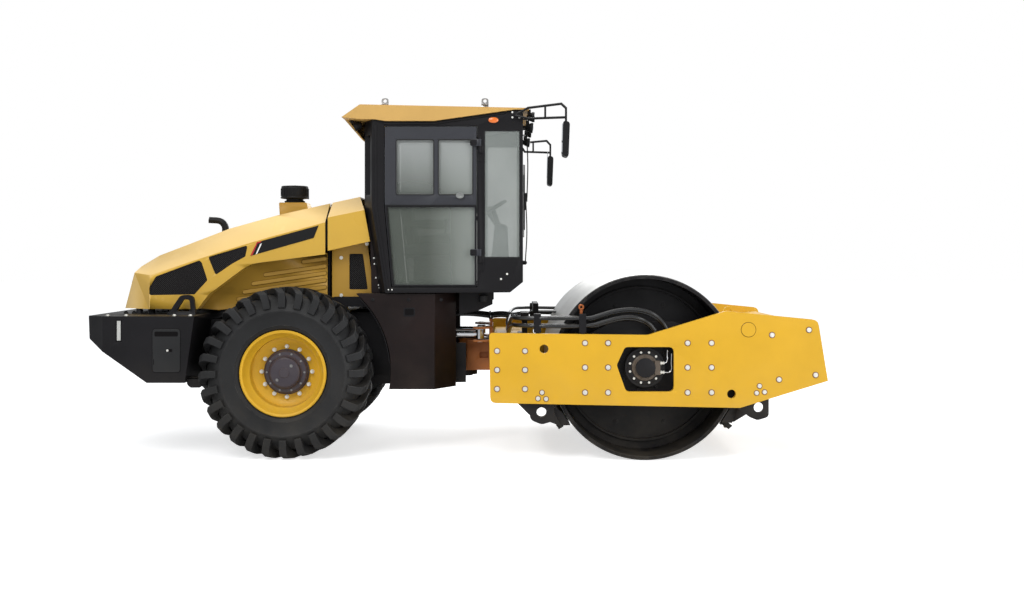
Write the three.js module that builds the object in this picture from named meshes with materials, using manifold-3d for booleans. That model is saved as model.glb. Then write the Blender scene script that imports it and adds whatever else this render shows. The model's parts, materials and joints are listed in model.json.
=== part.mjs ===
// Single-drum soil compactor with an articulated frame, in millimetres.
// +X points forwards, +Y to the machine's left and +Z up. The origin lies on the ground, at the
// centre of the machine's length and width.
import * as THREE from "three";
import { mergeVertices } from "three/addons/utils/BufferGeometryUtils.js";
import Module from "manifold-3d";

const wasm = await Module();
wasm.setup();

// ---- driving dimensions ----
const WHEELBASE = 3125;
const FRONT_OVERHANG = 1555; // drum axis to the nose of the front frame
const REAR_OVERHANG = 1720; // rear axle to the tail of the counterweight
const DRUM_DIAMETER = 1600;
const DRUM_WIDTH = 2170;
const DRUM_WALL = 35;
const DRUM_RECESS = 380; // rim to the face of the drum head
const DRUM_SIDE_GAP = 25; // rim to the side plate
const SIDE_PLATE = 40;
const TYRE_DIAMETER = 1490;
const TYRE_WIDTH = 520;
const WHEEL_TRACK = 1680; // between the tyres' centre planes
const RIM_DIAMETER = 740;
const CAB_WIDTH = 1560;
const CAB_WALL = 40;
const CAB_FLOOR_Z = 1432;
const CAB_CEILING_Z = 2958;
const ROOF_TOP_Z = 3113;
const GLASS = 6;
const DOOR_GAP = 8;
const HOOD_WIDTH = 1360;
const ENGINE_BAY_WIDTH = 1100;
const SHEET = 10; // wall of the hood and the cowl
const COUNTERWEIGHT_WIDTH = 2100;
const FRAME_PLATE = 30;
const FRAME_WIDTH = 820; // over the two plates of the rear frame
const PIVOT_RISE = 28; // oscillation axis above the drum axis
const BARREL_RADIUS = 95; // of the yoke, around the steering pin
const SHAFT_RADIUS = 90; // of the oscillation shaft
const SHAFT_CLEARANCE = 5;
const CYLINDER_SPREAD = 720; // between the two steering cylinders
const CYLINDER_RADIUS = 45;
const ROD_RADIUS = 26;
const GAP = 0.3; // between pieces that are fastened to each other
const RUNNING_GAP = 0.5; // between the faces of a bearing or hinge

// ---- places worked out from them ----
const LENGTH = WHEELBASE + FRONT_OVERHANG + REAR_OVERHANG;
const REAR_X = REAR_OVERHANG - LENGTH / 2;
const DRUM_X = REAR_X + WHEELBASE;
const PIVOT_X = (REAR_X + DRUM_X) / 2;
const DRUM_R = DRUM_DIAMETER / 2;
const TYRE_R = TYRE_DIAMETER / 2;
const PIVOT_Z = DRUM_R + PIVOT_RISE;
const DRUM_END = DRUM_WIDTH / 2;
const PLATE_IN = DRUM_END + DRUM_SIDE_GAP;
const PLATE_OUT = PLATE_IN + SIDE_PLATE;
const CAB_HALF = CAB_WIDTH / 2;
const FRAME_HALF = FRAME_WIDTH / 2;
const TYRE_IN = (WHEEL_TRACK - TYRE_WIDTH) / 2;
const BAY_HALF = Math.min(ENGINE_BAY_WIDTH / 2, TYRE_IN - 2 * SHEET);

const rear = (x) => REAR_X + x; // measured from the rear axle
const mid = (x) => PIVOT_X + x; // measured from the steering pin
const fore = (x) => DRUM_X + x; // measured from the drum axis
const high = (z) => PIVOT_Z + z; // measured from the oscillation axis

// ---- shapes ----

// A closed three.js geometry as a solid that can be joined and cut.
function solid(geometry) {
  const loose = geometry.index ? geometry.toNonIndexed() : geometry;
  const bare = new THREE.BufferGeometry().setAttribute("position", loose.getAttribute("position"));
  const merged = mergeVertices(bare, 1e-3);
  const vertProperties = merged.attributes.position.array;
  const triVerts = new Uint32Array(merged.index.array);
  return new wasm.Manifold(new wasm.Mesh({ numProp: 3, vertProperties, triVerts }));
}

function geometryOf(body) {
  const { vertProperties, triVerts } = body.getMesh();
  return new THREE.BufferGeometry()
    .setAttribute("position", new THREE.BufferAttribute(vertProperties, 3))
    .setIndex(new THREE.BufferAttribute(triVerts, 1));
}

const join = (...bodies) => bodies.reduce((whole, body) => whole.add(body));
const cut = (whole, ...tools) => tools.reduce((left, tool) => left.subtract(tool), whole);

// An outline whose points are [a, b] or, at a round corner, [a, b, radius].
function outline(points) {
  const shape = new THREE.Shape();
  points.forEach(([a, b, radius = 0], i) => {
    const corner = new THREE.Vector2(a, b);
    const before = new THREE.Vector2(...points.at(i - 1).slice(0, 2));
    const after = new THREE.Vector2(...points[(i + 1) % points.length].slice(0, 2));
    const back = before.clone().sub(corner);
    const on = after.clone().sub(corner);
    const half = Math.abs(Math.PI - Math.abs(Math.PI - Math.abs(back.angle() - on.angle()))) / 2;
    const reach = Math.min(radius / Math.tan(half), back.length() * 0.45, on.length() * 0.45);
    const enter = corner.clone().add(back.setLength(reach || 1e-9));
    const leave = corner.clone().add(on.setLength(reach || 1e-9));
    if (i === 0) shape.moveTo(enter.x, enter.y);
    else shape.lineTo(enter.x, enter.y);
    if (reach > 0) shape.quadraticCurveTo(a, b, leave.x, leave.y);
  });
  shape.closePath();
  return shape;
}

function extrude(shape, depth) {
  return new THREE.ExtrudeGeometry(shape, { depth, bevelEnabled: false, curveSegments: 3 });
}

// A side profile, points [x, z], filled from y0 to y1.
function side(points, y0, y1) {
  return solid(extrude(outline(points), y1 - y0).rotateX(Math.PI / 2).translate(0, y1, 0));
}

// A plan outline, points [x, y], filled from z0 up to z1.
function plan(points, z0, z1) {
  return solid(extrude(outline(points), z1 - z0).translate(0, 0, z0));
}

// A cross-section, points [y, z], filled from x0 to x1.
function section(points, x0, x1) {
  const turned = new THREE.Matrix4().set(0, 0, 1, x0, 1, 0, 0, 0, 0, 1, 0, 0, 0, 0, 0, 1);
  return solid(extrude(outline(points), x1 - x0).applyMatrix4(turned));
}

function box(x0, x1, y0, y1, z0, z1) {
  const middle = [(x0 + x1) / 2, (y0 + y1) / 2, (z0 + z1) / 2];
  return solid(new THREE.BoxGeometry(x1 - x0, y1 - y0, z1 - z0).translate(...middle));
}

// A round bar between two points.
function bar(radius, from, to, sides = 12) {
  const start = new THREE.Vector3(...from);
  const way = new THREE.Vector3(...to).sub(start);
  const turn = new THREE.Quaternion();
  turn.setFromUnitVectors(new THREE.Vector3(0, 1, 0), way.clone().normalize());
  const geometry = new THREE.CylinderGeometry(radius, radius, way.length(), sides);
  geometry.applyQuaternion(turn).translate(...start.addScaledVector(way, 0.5).toArray());
  return solid(geometry);
}

// Straight round bars along a list of points, each run a little past its ends to close the bends.
function rail(radius, points) {
  return join(...points.slice(1).map((to, i) => {
    const [start, end] = [new THREE.Vector3(...points[i]), new THREE.Vector3(...to)];
    const past = end.clone().sub(start).setLength(radius * 0.4);
    return bar(radius, start.sub(past).toArray(), end.add(past).toArray(), 6);
  }));
}

// A smooth hose through a list of points.
function hose(radius, points, steps = 24) {
  const route = new THREE.CatmullRomCurve3(points.map((at) => new THREE.Vector3(...at)));
  const corners = Array.from({ length: 6 }, (_, i) => {
    const turn = (i * Math.PI) / 3;
    return new THREE.Vector2(radius * Math.cos(turn), radius * Math.sin(turn));
  });
  const settings = { extrudePath: route, steps, bevelEnabled: false };
  return solid(new THREE.ExtrudeGeometry(new THREE.Shape(corners), settings));
}

// A ring or disc about the Y axis, from a closed profile of [radius, y] points. Its facets lie
// flat at the top and bottom, and the middles of the facets are at the radius given.
function turned(profile, facets) {
  const grown = 1 / Math.cos(Math.PI / facets);
  const points = profile.map(([radius, y]) => new THREE.Vector2(radius * grown, y));
  points.push(points[0].clone());
  if (THREE.ShapeUtils.isClockWise(points)) points.reverse();
  return solid(new THREE.LatheGeometry(points, facets, Math.PI / facets, 2 * Math.PI));
}

// A skin over rings with equally many points each, closed by flat convex ends.
function loft(rings) {
  const count = rings[0].length;
  const faces = [];
  for (let i = 1; i < count - 1; i += 1) {
    faces.push([0, i + 1, i]);
    const last = (rings.length - 1) * count;
    faces.push([last, last + i, last + i + 1]);
  }
  for (let r = 0; r + 1 < rings.length; r += 1) {
    for (let i = 0; i < count; i += 1) {
      const [a, b] = [r * count + i, r * count + ((i + 1) % count)];
      faces.push([a, b, b + count], [a, b + count, a + count]);
    }
  }
  const geometry = new THREE.BufferGeometry();
  geometry.setAttribute("position", new THREE.Float32BufferAttribute(rings.flat(2), 3));
  geometry.setIndex(faces.flat());
  const body = solid(geometry);
  if (body.volume() > 0) return body;
  geometry.setIndex(faces.map(([a, b, c]) => [a, c, b]).flat());
  return solid(geometry);
}

// Points [x, y, z] on the left, followed by their mirror images on the right.
const across = (points) => [...points, ...points.map(([x, y, z]) => [x, -y, z]).reverse()];

const mirrored = (body) => body.mirror([0, 1, 0]);
const both = (body) => join(body, mirrored(body));

// ---- materials ----
function finish(color, roughness, metalness = 0) {
  return new THREE.MeshStandardMaterial({ color, roughness, metalness });
}
const YELLOW = finish(0xe9b63a, 0.4);
const BLACK = finish(0x1b1b1c, 0.45);
const DARK_GREY = finish(0x3e4043, 0.5);
const OCHRE = finish(0x8b5a33, 0.55);
const STEEL = finish(0xc4c4be, 0.4, 0.8);
const DARK_STEEL = finish(0x4a4b4e, 0.5, 0.6);
const CHROME = finish(0xd9dadc, 0.15, 1);
const RUBBER = finish(0x222224, 0.85);
const HUB_GREY = finish(0x37343c, 0.5, 0.3);
const TINTED = finish(0x8f9a92, 0.1);
TINTED.transparent = true;
TINTED.opacity = 0.4;
const CUSHION = finish(0x2a2b2e, 0.9);

const machine = new THREE.Group();

// Adds a named piece to the machine, and gives its mesh back.
function add(name, body, material, at = [0, 0, 0]) {
  const mesh = new THREE.Mesh(geometryOf(body), material);
  mesh.name = name;
  mesh.position.set(...at);
  machine.add(mesh);
  return mesh;
}

// Adds a right-hand piece and its mirror image on the left.
function addPair(name, body, material) {
  add(name + "_right", body, material);
  add(name + "_left", body, material).scale.y = -1;
}

// ---- rear frame, axle, tanks and counterweight ----
const FRAME_TOP = high(412);
const FRAME_BOTTOM = high(-230);
const LOW_FRAME_TOP = high(132); // below the steering cylinders
const TANK_IN = FRAME_HALF + 85;
const TANK_OUT = 750;
const TANK_TOP = CAB_FLOOR_Z - 7;
const TANK_BOTTOM = 573;
const ARCH_R = TYRE_R + 155; // of the tanks' rear edge, around the rear axle
const AXLE_R = 110;
const FORK_R = 90; // of the lugs around the steering pin
const FORK_GAP = high(-152.5); // lower and upper faces that hold the yoke's barrel
const FORK_TOP = high(152.5);
const FORK_THICKNESS = 42;
const COUNTERWEIGHT_TOP = high(412);
const TAIL = rear(-REAR_OVERHANG);
const CYLINDER_Z = high(210);
const CYLINDER_Y = CYLINDER_SPREAD / 2;
const BASE_PIN_X = mid(-690);
const BULKHEAD_X = BASE_PIN_X - 100;
const ROD_EYE_X = mid(122);
const LUG_THICKNESS = 15;
const ENGINE_BOTTOM = high(172);
const EYE_HALF = 42; // half the height of a cylinder's eye

function rearFrame() {
  const plateLine = [
    [rear(-670), FRAME_BOTTOM + 60],
    [rear(-670), FRAME_TOP],
    [BULKHEAD_X, FRAME_TOP],
    [BULKHEAD_X + 45, LOW_FRAME_TOP],
    [mid(-5), LOW_FRAME_TOP],
    [mid(-5), FRAME_BOTTOM],
    [rear(500), FRAME_BOTTOM - 20],
    [rear(-300), FRAME_BOTTOM - 20],
  ];
  const axleHole = bar(AXLE_R + GAP * 2, [REAR_X, -FRAME_HALF, TYRE_R], [REAR_X, FRAME_HALF, TYRE_R], 24);
  const plates = both(side(plateLine, FRAME_HALF - FRAME_PLATE, FRAME_HALF));
  const diffRoom = bar(230, [REAR_X, -250, TYRE_R], [REAR_X, 250, TYRE_R], 24);
  const inner = FRAME_HALF - FRAME_PLATE / 2;
  const crossmember = (x) => box(x, x + 40, -inner, inner, FRAME_BOTTOM + 60, ENGINE_BOTTOM - GAP);
  const seatTop = high(130);
  const outrigger = (x) => box(x, x + 40, -TANK_IN + GAP, TANK_IN - GAP, high(-180), seatTop);
  const hitchWidth = 140;
  const hitchLow = FORK_GAP - FORK_THICKNESS;
  const hitchTop = FORK_TOP + FORK_THICKNESS;
  const hitch = box(BULKHEAD_X, mid(-197), -hitchWidth, hitchWidth, hitchLow, hitchTop);
  const lug = (z) => join(
    box(mid(-200), PIVOT_X, -FORK_R, FORK_R, z, z + FORK_THICKNESS),
    bar(FORK_R, [PIVOT_X, 0, z], [PIVOT_X, 0, z + FORK_THICKNESS], 16),
    bar(45, [PIVOT_X, 0, z - 14], [PIVOT_X, 0, z + FORK_THICKNESS + 14]),
  );
  const gapRoom = bar(FORK_R + 20, [PIVOT_X, 0, FORK_GAP], [PIVOT_X, 0, FORK_TOP], 24);
  const fork = cut(join(lug(FORK_GAP - FORK_THICKNESS), lug(FORK_TOP)), gapRoom);
  const anchor = (z) => both(join(
    box(BASE_PIN_X - 60, BASE_PIN_X, CYLINDER_Y - 45, CYLINDER_Y + 45, z, z + LUG_THICKNESS),
    bar(45, [BASE_PIN_X, CYLINDER_Y, z], [BASE_PIN_X, CYLINDER_Y, z + LUG_THICKNESS]),
  ));
  const anchors = join(
    anchor(CYLINDER_Z - EYE_HALF - RUNNING_GAP - LUG_THICKNESS),
    anchor(CYLINDER_Z + EYE_HALF + RUNNING_GAP),
  );
  const bulkhead = box(BULKHEAD_X, BULKHEAD_X + 45, -inner, inner, FRAME_BOTTOM, FRAME_TOP - 20);
  const spine = box(BASE_PIN_X - 60, mid(-197), -hitchWidth, hitchWidth, FORK_GAP, FORK_TOP + 20);
  const whole = join(plates, crossmember(rear(-640)), crossmember(rear(100)), outrigger(mid(-560)),
    outrigger(mid(-260)), bulkhead, spine, hitch, fork, anchors);
  return cut(whole, axleHole, diffRoom);
}

function rearAxle() {
  const flange = TYRE_IN - 20;
  const housing = bar(AXLE_R, [REAR_X, -flange, TYRE_R], [REAR_X, flange, TYRE_R], 24);
  const differential = bar(215, [REAR_X, -190, TYRE_R], [REAR_X, 190, TYRE_R], 24);
  const hubEnd = bar(170, [REAR_X, flange - 60, TYRE_R], [REAR_X, flange, TYRE_R], 24);
  return join(housing, differential, both(hubEnd));
}

// The box of fuel or oil beside the frame, under the cab.
function tank() {
  const front = [[mid(-272), TANK_OUT], [mid(-92), TANK_IN]];
  const back = rear(0);
  const body = plan([[back, TANK_IN], [back, TANK_OUT], ...front], TANK_BOTTOM, TANK_TOP);
  const arch = bar(ARCH_R, [REAR_X, TANK_IN - 1, TYRE_R], [REAR_X, TANK_OUT + 1, TYRE_R], 64);
  const cowlRoom = box(back - 1, mid(-820), TANK_IN - 1, BAY_HALF + 8, high(551), TANK_TOP + 1);
  const handhold = box(mid(-541), mid(-453), TANK_OUT - 40, TANK_OUT + 1, high(400), high(466));
  return mirrored(cut(body, arch, handhold, cowlRoom));
}

function counterweight() {
  const half = COUNTERWEIGHT_WIDTH / 2;
  const face = REAR_X - TYRE_R;
  const body = side([
    [TAIL, COUNTERWEIGHT_TOP],
    [face - 24, COUNTERWEIGHT_TOP],
    [face - 106, high(-164)],
    [face - 435, high(-164)],
    [TAIL + 9, high(212), 20],
  ], -half, half);
  const nose = box(face - 300, rear(-670) - GAP, -450, 450, high(-140), COUNTERWEIGHT_TOP - 60);
  const cornerCut = plan([
    [TAIL - 1, half + 1], [TAIL - 1, half - 110], [TAIL + 160, half + 1],
  ], high(-200), COUNTERWEIGHT_TOP + 1);
  const reflectorSeat = box(rear(-1446), rear(-1395), -half - 1, -half + 12, high(188), high(383));
  const lugLine = [
    [rear(-1080), COUNTERWEIGHT_TOP - 5],
    [rear(-960), COUNTERWEIGHT_TOP + 175, 60],
    [rear(-845), COUNTERWEIGHT_TOP + 175, 60],
    [rear(-830), COUNTERWEIGHT_TOP - 5],
  ];
  const lugHole = [
    [rear(-1000), COUNTERWEIGHT_TOP + 30, 15],
    [rear(-935), COUNTERWEIGHT_TOP + 135, 25],
    [rear(-880), COUNTERWEIGHT_TOP + 135, 25],
    [rear(-872), COUNTERWEIGHT_TOP + 30, 15],
  ];
  const lug = cut(side(lugLine, 755, 795), side(lugHole, 754, 796));
  const buffer = (x) => bar(30, [x, 560, COUNTERWEIGHT_TOP - 5], [x, 560, HOOD_BOTTOM - RUNNING_GAP], 12);
  const whole = join(body, nose, both(lug), both(buffer(rear(-1400))), both(buffer(rear(-1290))));
  const towHole = bar(45, [TAIL - 1, 0, high(300)], [TAIL + 60, 0, high(300)], 16);
  return cut(whole, both(cornerCut), reflectorSeat, mirrored(reflectorSeat), towHole);
}

function engine() {
  return box(rear(-640), rear(170), -330, 330, ENGINE_BOTTOM, high(900));
}

// ---- hood and cowl ----
const HOOD_BOTTOM = COUNTERWEIGHT_TOP + 45;
const HOOD_HALF = HOOD_WIDTH / 2;
const HOOD_FRONT = mid(-1259);
const COWL_REAR = HOOD_FRONT + 25;
const COWL_FRONT = mid(-982);
const CREST_HALF = 400; // of the flat top of the hood
const CREST_SLOPE = 0.2266;
const CREASE_SLOPE = 0.2944;
const crestZ = (x) => high(1417) + (x - HOOD_FRONT) * CREST_SLOPE;
const creaseZ = (x) => high(1235) + (x - HOOD_FRONT) * CREASE_SLOPE;
const HOOD_HINGE = [HOOD_FRONT - 20, crestZ(HOOD_FRONT) - 40];
const PEDESTAL_TOP = high(1440);
const HOOD_KNUCKLE = 340; // distance of the hood's knuckles from the centre plane

// The hood's outside from tail to front, drawn in by a wall's thickness.
function hoodSkin(wall, front, floor) {
  const ring = (x, half, crest, crease, crown, shift = 0) => across([
    [x + shift, half - wall, floor],
    [x + shift * 0.2, half - wall, crease - wall * 0.4],
    [x, crown - wall * 0.7, crest - wall],
  ]);
  const tail = rear(-1445) + wall;
  const corner = rear(-1271);
  const bend = rear(-626);
  return loft([
    ring(tail, 500, high(837), high(780), 370, -110),
    ring(corner, HOOD_HALF, high(936), creaseZ(corner) - 10, CREST_HALF),
    ring(bend, HOOD_HALF, high(1184), creaseZ(bend) + 12, CREST_HALF),
    ring(rear(-191), HOOD_HALF, high(1306), creaseZ(rear(-191)) + 15, CREST_HALF),
    ring(front, HOOD_HALF, crestZ(front), creaseZ(front), CREST_HALF),
  ]);
}

// The room over each rear wheel, outside the narrow part of the engine bay.
function wheelRoom(inner, lift) {
  return both(side([
    [rear(-848) - lift, HOOD_BOTTOM - 400],
    [rear(-848) - lift, HOOD_BOTTOM - 9 + lift],
    [rear(-740), high(590) + lift, 150],
    [rear(-648), high(659) + lift, 150],
    [rear(-379), high(861) + lift, 300],
    [HOOD_FRONT + 400, high(1000) + lift],
    [HOOD_FRONT + 400, HOOD_BOTTOM - 400],
  ], inner, HOOD_HALF + 50));
}

const HOOD_WINDOWS = [
  [[-1276, 581], [-1276, 649], [-1216, 749], [-825, 894], [-803, 872], [-752, 716], [-869, 588]],
  [[-747, 924], [-390, 1031], [-413, 928], [-535, 861], [-680, 761]],
];

function hoodKnuckle(y0, y1) {
  const [x, z] = HOOD_HINGE;
  return both(bar(22, [x, y0, z], [x, y1, z], 16));
}

function hood() {
  const outer = cut(hoodSkin(0, HOOD_FRONT, HOOD_BOTTOM - 15), wheelRoom(BAY_HALF, 0));
  const bay = cut(hoodSkin(SHEET, HOOD_FRONT + 60, HOOD_BOTTOM - 300), wheelRoom(BAY_HALF - SHEET, SHEET));
  const skirt = side([
    [rear(-2000), HOOD_BOTTOM - 400],
    [rear(-2000), HOOD_BOTTOM],
    [rear(-860), HOOD_BOTTOM],
    [rear(-682), HOOD_BOTTOM - 15],
    [HOOD_FRONT + 1, high(566)],
    [HOOD_FRONT + 1, HOOD_BOTTOM - 400],
  ], -HOOD_HALF - 1, HOOD_HALF + 1);
  const windows = HOOD_WINDOWS.map((points) => {
    return side(points.map(([x, z]) => [rear(x), high(z), 18]), -HOOD_HALF - 1, HOOD_HALF + 1);
  });
  const [x, z] = HOOD_HINGE;
  const ears = both(box(x - 20, x + 20, HOOD_KNUCKLE, HOOD_KNUCKLE + 40, z, crestZ(x) - SHEET / 2));
  const pedestal = side([
    [HOOD_FRONT - 520, high(1270)],
    [HOOD_FRONT - 530, PEDESTAL_TOP, 10],
    [HOOD_FRONT - 270, PEDESTAL_TOP, 10],
    [HOOD_FRONT - 240, high(1340)],
  ], -110, 110);
  const shell = cut(join(outer, cut(pedestal, bay)), bay, skirt, ...windows);
  const clear = join(...[1, -1].map((hand) => bar(27, [x, hand * (HOOD_KNUCKLE - 50), z],
    [x, hand * (HOOD_KNUCKLE - RUNNING_GAP / 2), z], 16)));
  return cut(join(shell, ears, hoodKnuckle(HOOD_KNUCKLE, HOOD_KNUCKLE + 40)), clear);
}

// Mesh panel behind both windows of one side of the hood.
function hoodGrille() {
  const inside = HOOD_HALF - SHEET - GAP;
  const line = [[-1268, 570], [-1268, 655], [-1222, 762], [-815, 896], [-745, 916], [-380, 1033],
    [-398, 918], [-525, 848], [-672, 745], [-742, 700], [-862, 570]];
  return mirrored(side(line.map(([x, z]) => [rear(x), high(z)]), inside - 6, inside));
}

function precleaner() {
  const x = HOOD_FRONT - 400;
  const base = PEDESTAL_TOP + GAP;
  const profile = [
    [0, 0], [80, 0], [80, 34], [135, 40], [135, 52], [128, 58], [128, 150], [110, 163], [0, 166],
  ];
  const points = profile.map(([radius, z]) => new THREE.Vector2(radius, z));
  return solid(new THREE.LatheGeometry(points, 20).rotateX(Math.PI / 2).translate(x, 0, base));
}

function exhaust() {
  const x = rear(-750);
  const outer = hose(34, [
    [x, -60, high(1110)], [x, -60, high(1215)], [x - 40, -60, high(1262)], [x - 150, -60, high(1275)],
  ], 12);
  const bore = hose(28, [
    [x - 60, -60, high(1262)], [x - 110, -60, high(1272)], [x - 152, -60, high(1275)],
  ], 4);
  return cut(outer, bore, hoodSkin(-GAP, HOOD_FRONT, HOOD_BOTTOM));
}

function cowl() {
  const ring = (x, [low, crease, crest], slants, wall, drop) => across([
    [x + slants[0], HOOD_HALF + 10 - wall, low - drop],
    [x + slants[1], HOOD_HALF + 10 - wall, crease - wall * 0.4],
    [x + slants[2], CREST_HALF - wall * 0.7, crest - wall],
  ]);
  const rearHeights = [high(980), high(1278), high(1424)];
  const frontHeights = [high(1064), high(1345), high(1478)];
  const skin = (wall, reach, drop) => loft([
    ring(COWL_REAR - reach, rearHeights, [0, 0, 0], wall, drop),
    ring(COWL_FRONT + reach, frontHeights, [127, 75, 0], wall, drop),
  ]);
  const lowLine = (drop) => [
    [COWL_REAR + 18 - drop, high(559) - drop],
    [COWL_REAR + 18 - drop, high(1100)],
    [COWL_FRONT + 80 + drop, high(1100)],
    [COWL_FRONT + 150 + drop, high(559) - drop],
  ];
  const low = (wall, drop) => side(lowLine(drop), -BAY_HALF + wall, BAY_HALF - wall);
  const outer = join(skin(0, 0, 0), low(0, 0));
  const room = join(skin(SHEET, 40, -SHEET), low(SHEET, 60));
  const window = side([
    [mid(-1060), high(629)], [mid(-1060), high(953)], [mid(-936), high(953)], [mid(-892), high(629)],
  ].map((at) => [...at, 12]), -BAY_HALF - 1, BAY_HALF + 1);
  const firewall = join(
    box(mid(-1100), mid(-1090), -BAY_HALF + SHEET / 2, BAY_HALF - SHEET / 2, high(600), high(1300)),
    box(mid(-1100), mid(-1090), -FRAME_HALF, FRAME_HALF, FRAME_TOP + GAP, high(700)),
  );
  const [x, z] = HOOD_HINGE;
  const y0 = HOOD_KNUCKLE - 40;
  const bracket = both(join(
    box(x, COWL_REAR + 30, y0, HOOD_KNUCKLE - RUNNING_GAP, z - 8, z + 8),
    box(COWL_REAR + 10, COWL_REAR + 30, y0, HOOD_KNUCKLE - RUNNING_GAP, z - 8, rearHeights[2]),
  ));
  const knuckles = hoodKnuckle(y0, HOOD_KNUCKLE - RUNNING_GAP);
  const cabRoom = cabBack(-8, 60, 1);
  return join(cut(outer, room, window, cabRoom), firewall, bracket, knuckles);
}

// ---- cab ----
const CAB_REAR = mid(-827); // where the side walls meet the rear wall
const CAB_FRONT = mid(515);
const CAB_BACK = CAB_REAR - 87; // outside of the rear wall
const CAB_BACK_HALF = CAB_HALF - 180; // half width of the flat part of the rear wall
const CAB_KNEE_Z = 2193; // the rear wall slopes forward below this height
const CAB_KNEE_RUN = 117;
const BROW_RISE = 100; // of the ceiling from the door to the windshield
const SIDE_IN = CAB_HALF - CAB_WALL;
const DOOR_FRONT = mid(101);
const DOOR_REAR = CAB_REAR + 114;
const DOOR_BOTTOM = CAB_FLOOR_Z + 58;
const DOOR_TOP = CAB_CEILING_Z - 48;
const DOOR_SPLIT_Z = CAB_KNEE_Z + 18;
const DOOR_HINGE = [DOOR_FRONT + 33, CAB_HALF + 20];
const ROOF_HALF = CAB_HALF + 30;
const ROOF_STEP = 12; // from the roof's raised middle down to its border

const CEILING = [
  [CAB_REAR + 28, CAB_CEILING_Z + 15],
  [CAB_REAR + 119, CAB_CEILING_Z],
  [mid(-277), CAB_CEILING_Z],
  [mid(430), CAB_CEILING_Z + BROW_RISE],
];

function doorLine(grow) {
  return [
    [DOOR_REAR + 65 - grow, DOOR_BOTTOM - grow],
    [DOOR_FRONT + grow, DOOR_BOTTOM - grow],
    [DOOR_FRONT + grow, DOOR_TOP + grow],
    [DOOR_REAR - grow, DOOR_TOP + grow],
    [DOOR_REAR - grow, DOOR_SPLIT_Z],
  ];
}

const QUARTER_WINDOW = [
  [mid(168), CAB_FLOOR_Z + 311, 15],
  [mid(492), CAB_FLOOR_Z + 311, 15],
  [mid(492), CAB_CEILING_Z - 78, 15],
  [mid(168), CAB_CEILING_Z - 78, 15],
];

// An outline drawn in by a gap towards its middle.
function drawnIn(points, gap) {
  const middleA = points.reduce((sum, [a]) => sum + a, 0) / points.length;
  const middleB = points.reduce((sum, [, b]) => sum + b, 0) / points.length;
  return points.map(([a, b, r]) => [a - Math.sign(a - middleA) * gap, b - Math.sign(b - middleB) * gap, r]);
}

// Knuckles of one door: those of the door stand on those of the wall.
const DOOR_KNUCKLES = [CAB_FLOOR_Z + 330, CAB_CEILING_Z - 220];
const KNUCKLE_HEIGHT = 60;

function doorKnuckle(rise, footFrom, footTo) {
  const [x, y] = DOOR_HINGE;
  return join(...DOOR_KNUCKLES.map((z) => {
    const [low, top] = [z + rise, z + rise + KNUCKLE_HEIGHT];
    return join(
      bar(13, [x, y, low], [x, y, top], 12),
      box(Math.min(x, footFrom), Math.max(x, footTo), CAB_HALF + 7, y, low, top),
      box(footFrom, footTo, CAB_HALF - 5, y, low, top),
    );
  }));
}

function cabSide() {
  const line = [
    [CAB_REAR + CAB_KNEE_RUN, CAB_FLOOR_Z],
    [mid(400), CAB_FLOOR_Z + 5],
    [CAB_FRONT, CAB_FLOOR_Z + 98],
    [CAB_FRONT, CAB_CEILING_Z + BROW_RISE],
    ...[...CEILING].reverse(),
    [CAB_REAR, CAB_CEILING_Z + 15],
    [CAB_REAR, CAB_KNEE_Z],
  ];
  const wall = side(line, SIDE_IN, CAB_HALF);
  const doorway = side(doorLine(DOOR_GAP), SIDE_IN - 1, CAB_HALF + 1);
  const window = side(QUARTER_WINDOW, SIDE_IN - 1, CAB_HALF + 1);
  const knuckles = doorKnuckle(-KNUCKLE_HEIGHT - RUNNING_GAP, DOOR_HINGE[0] + 2, DOOR_HINGE[0] + 30);
  const footLow = CAB_CEILING_Z + 18;
  const mirrorFoot = box(mid(410), mid(492), CAB_HALF - 1, CAB_HALF + 14, footLow, footLow + 74);
  return mirrored(join(cut(wall, doorway, window), knuckles, mirrorFoot));
}

function quarterGlass() {
  const middle = CAB_HALF - 12;
  return mirrored(side(drawnIn(QUARTER_WINDOW, GAP), middle - GLASS, middle));
}

function doorFrame() {
  const leaf = side(doorLine(0), SIDE_IN + GLASS + 2, CAB_HALF);
  const pane = (x0, x1) => side([
    [x0, DOOR_SPLIT_Z + 90, 15], [x1, DOOR_SPLIT_Z + 90, 15],
    [x1, DOOR_TOP - 110, 15], [x0, DOOR_TOP - 110, 15],
  ], SIDE_IN - 1, CAB_HALF + 1);
  const border = 16;
  const slope = (DOOR_SPLIT_Z - DOOR_BOTTOM) / 65;
  const lower = side([
    [DOOR_REAR + 65 + border, DOOR_BOTTOM + border],
    [DOOR_FRONT - border, DOOR_BOTTOM + border],
    [DOOR_FRONT - border, DOOR_SPLIT_Z - border],
    [DOOR_REAR + border + border / slope, DOOR_SPLIT_Z - border],
  ], SIDE_IN - 1, CAB_HALF + 1);
  const handleLow = DOOR_SPLIT_Z + 65;
  const handle = box(
    DOOR_FRONT - 180, DOOR_FRONT - 110, CAB_HALF - 1, CAB_HALF + 16, handleLow, handleLow + 35,
  );
  const middle = DOOR_FRONT - 360;
  const frame = cut(leaf, pane(DOOR_REAR + 99, middle - 17), pane(middle + 19, DOOR_FRONT - 30), lower);
  return mirrored(join(frame, handle, doorKnuckle(0, DOOR_FRONT - 50, DOOR_FRONT - 10)));
}

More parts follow.
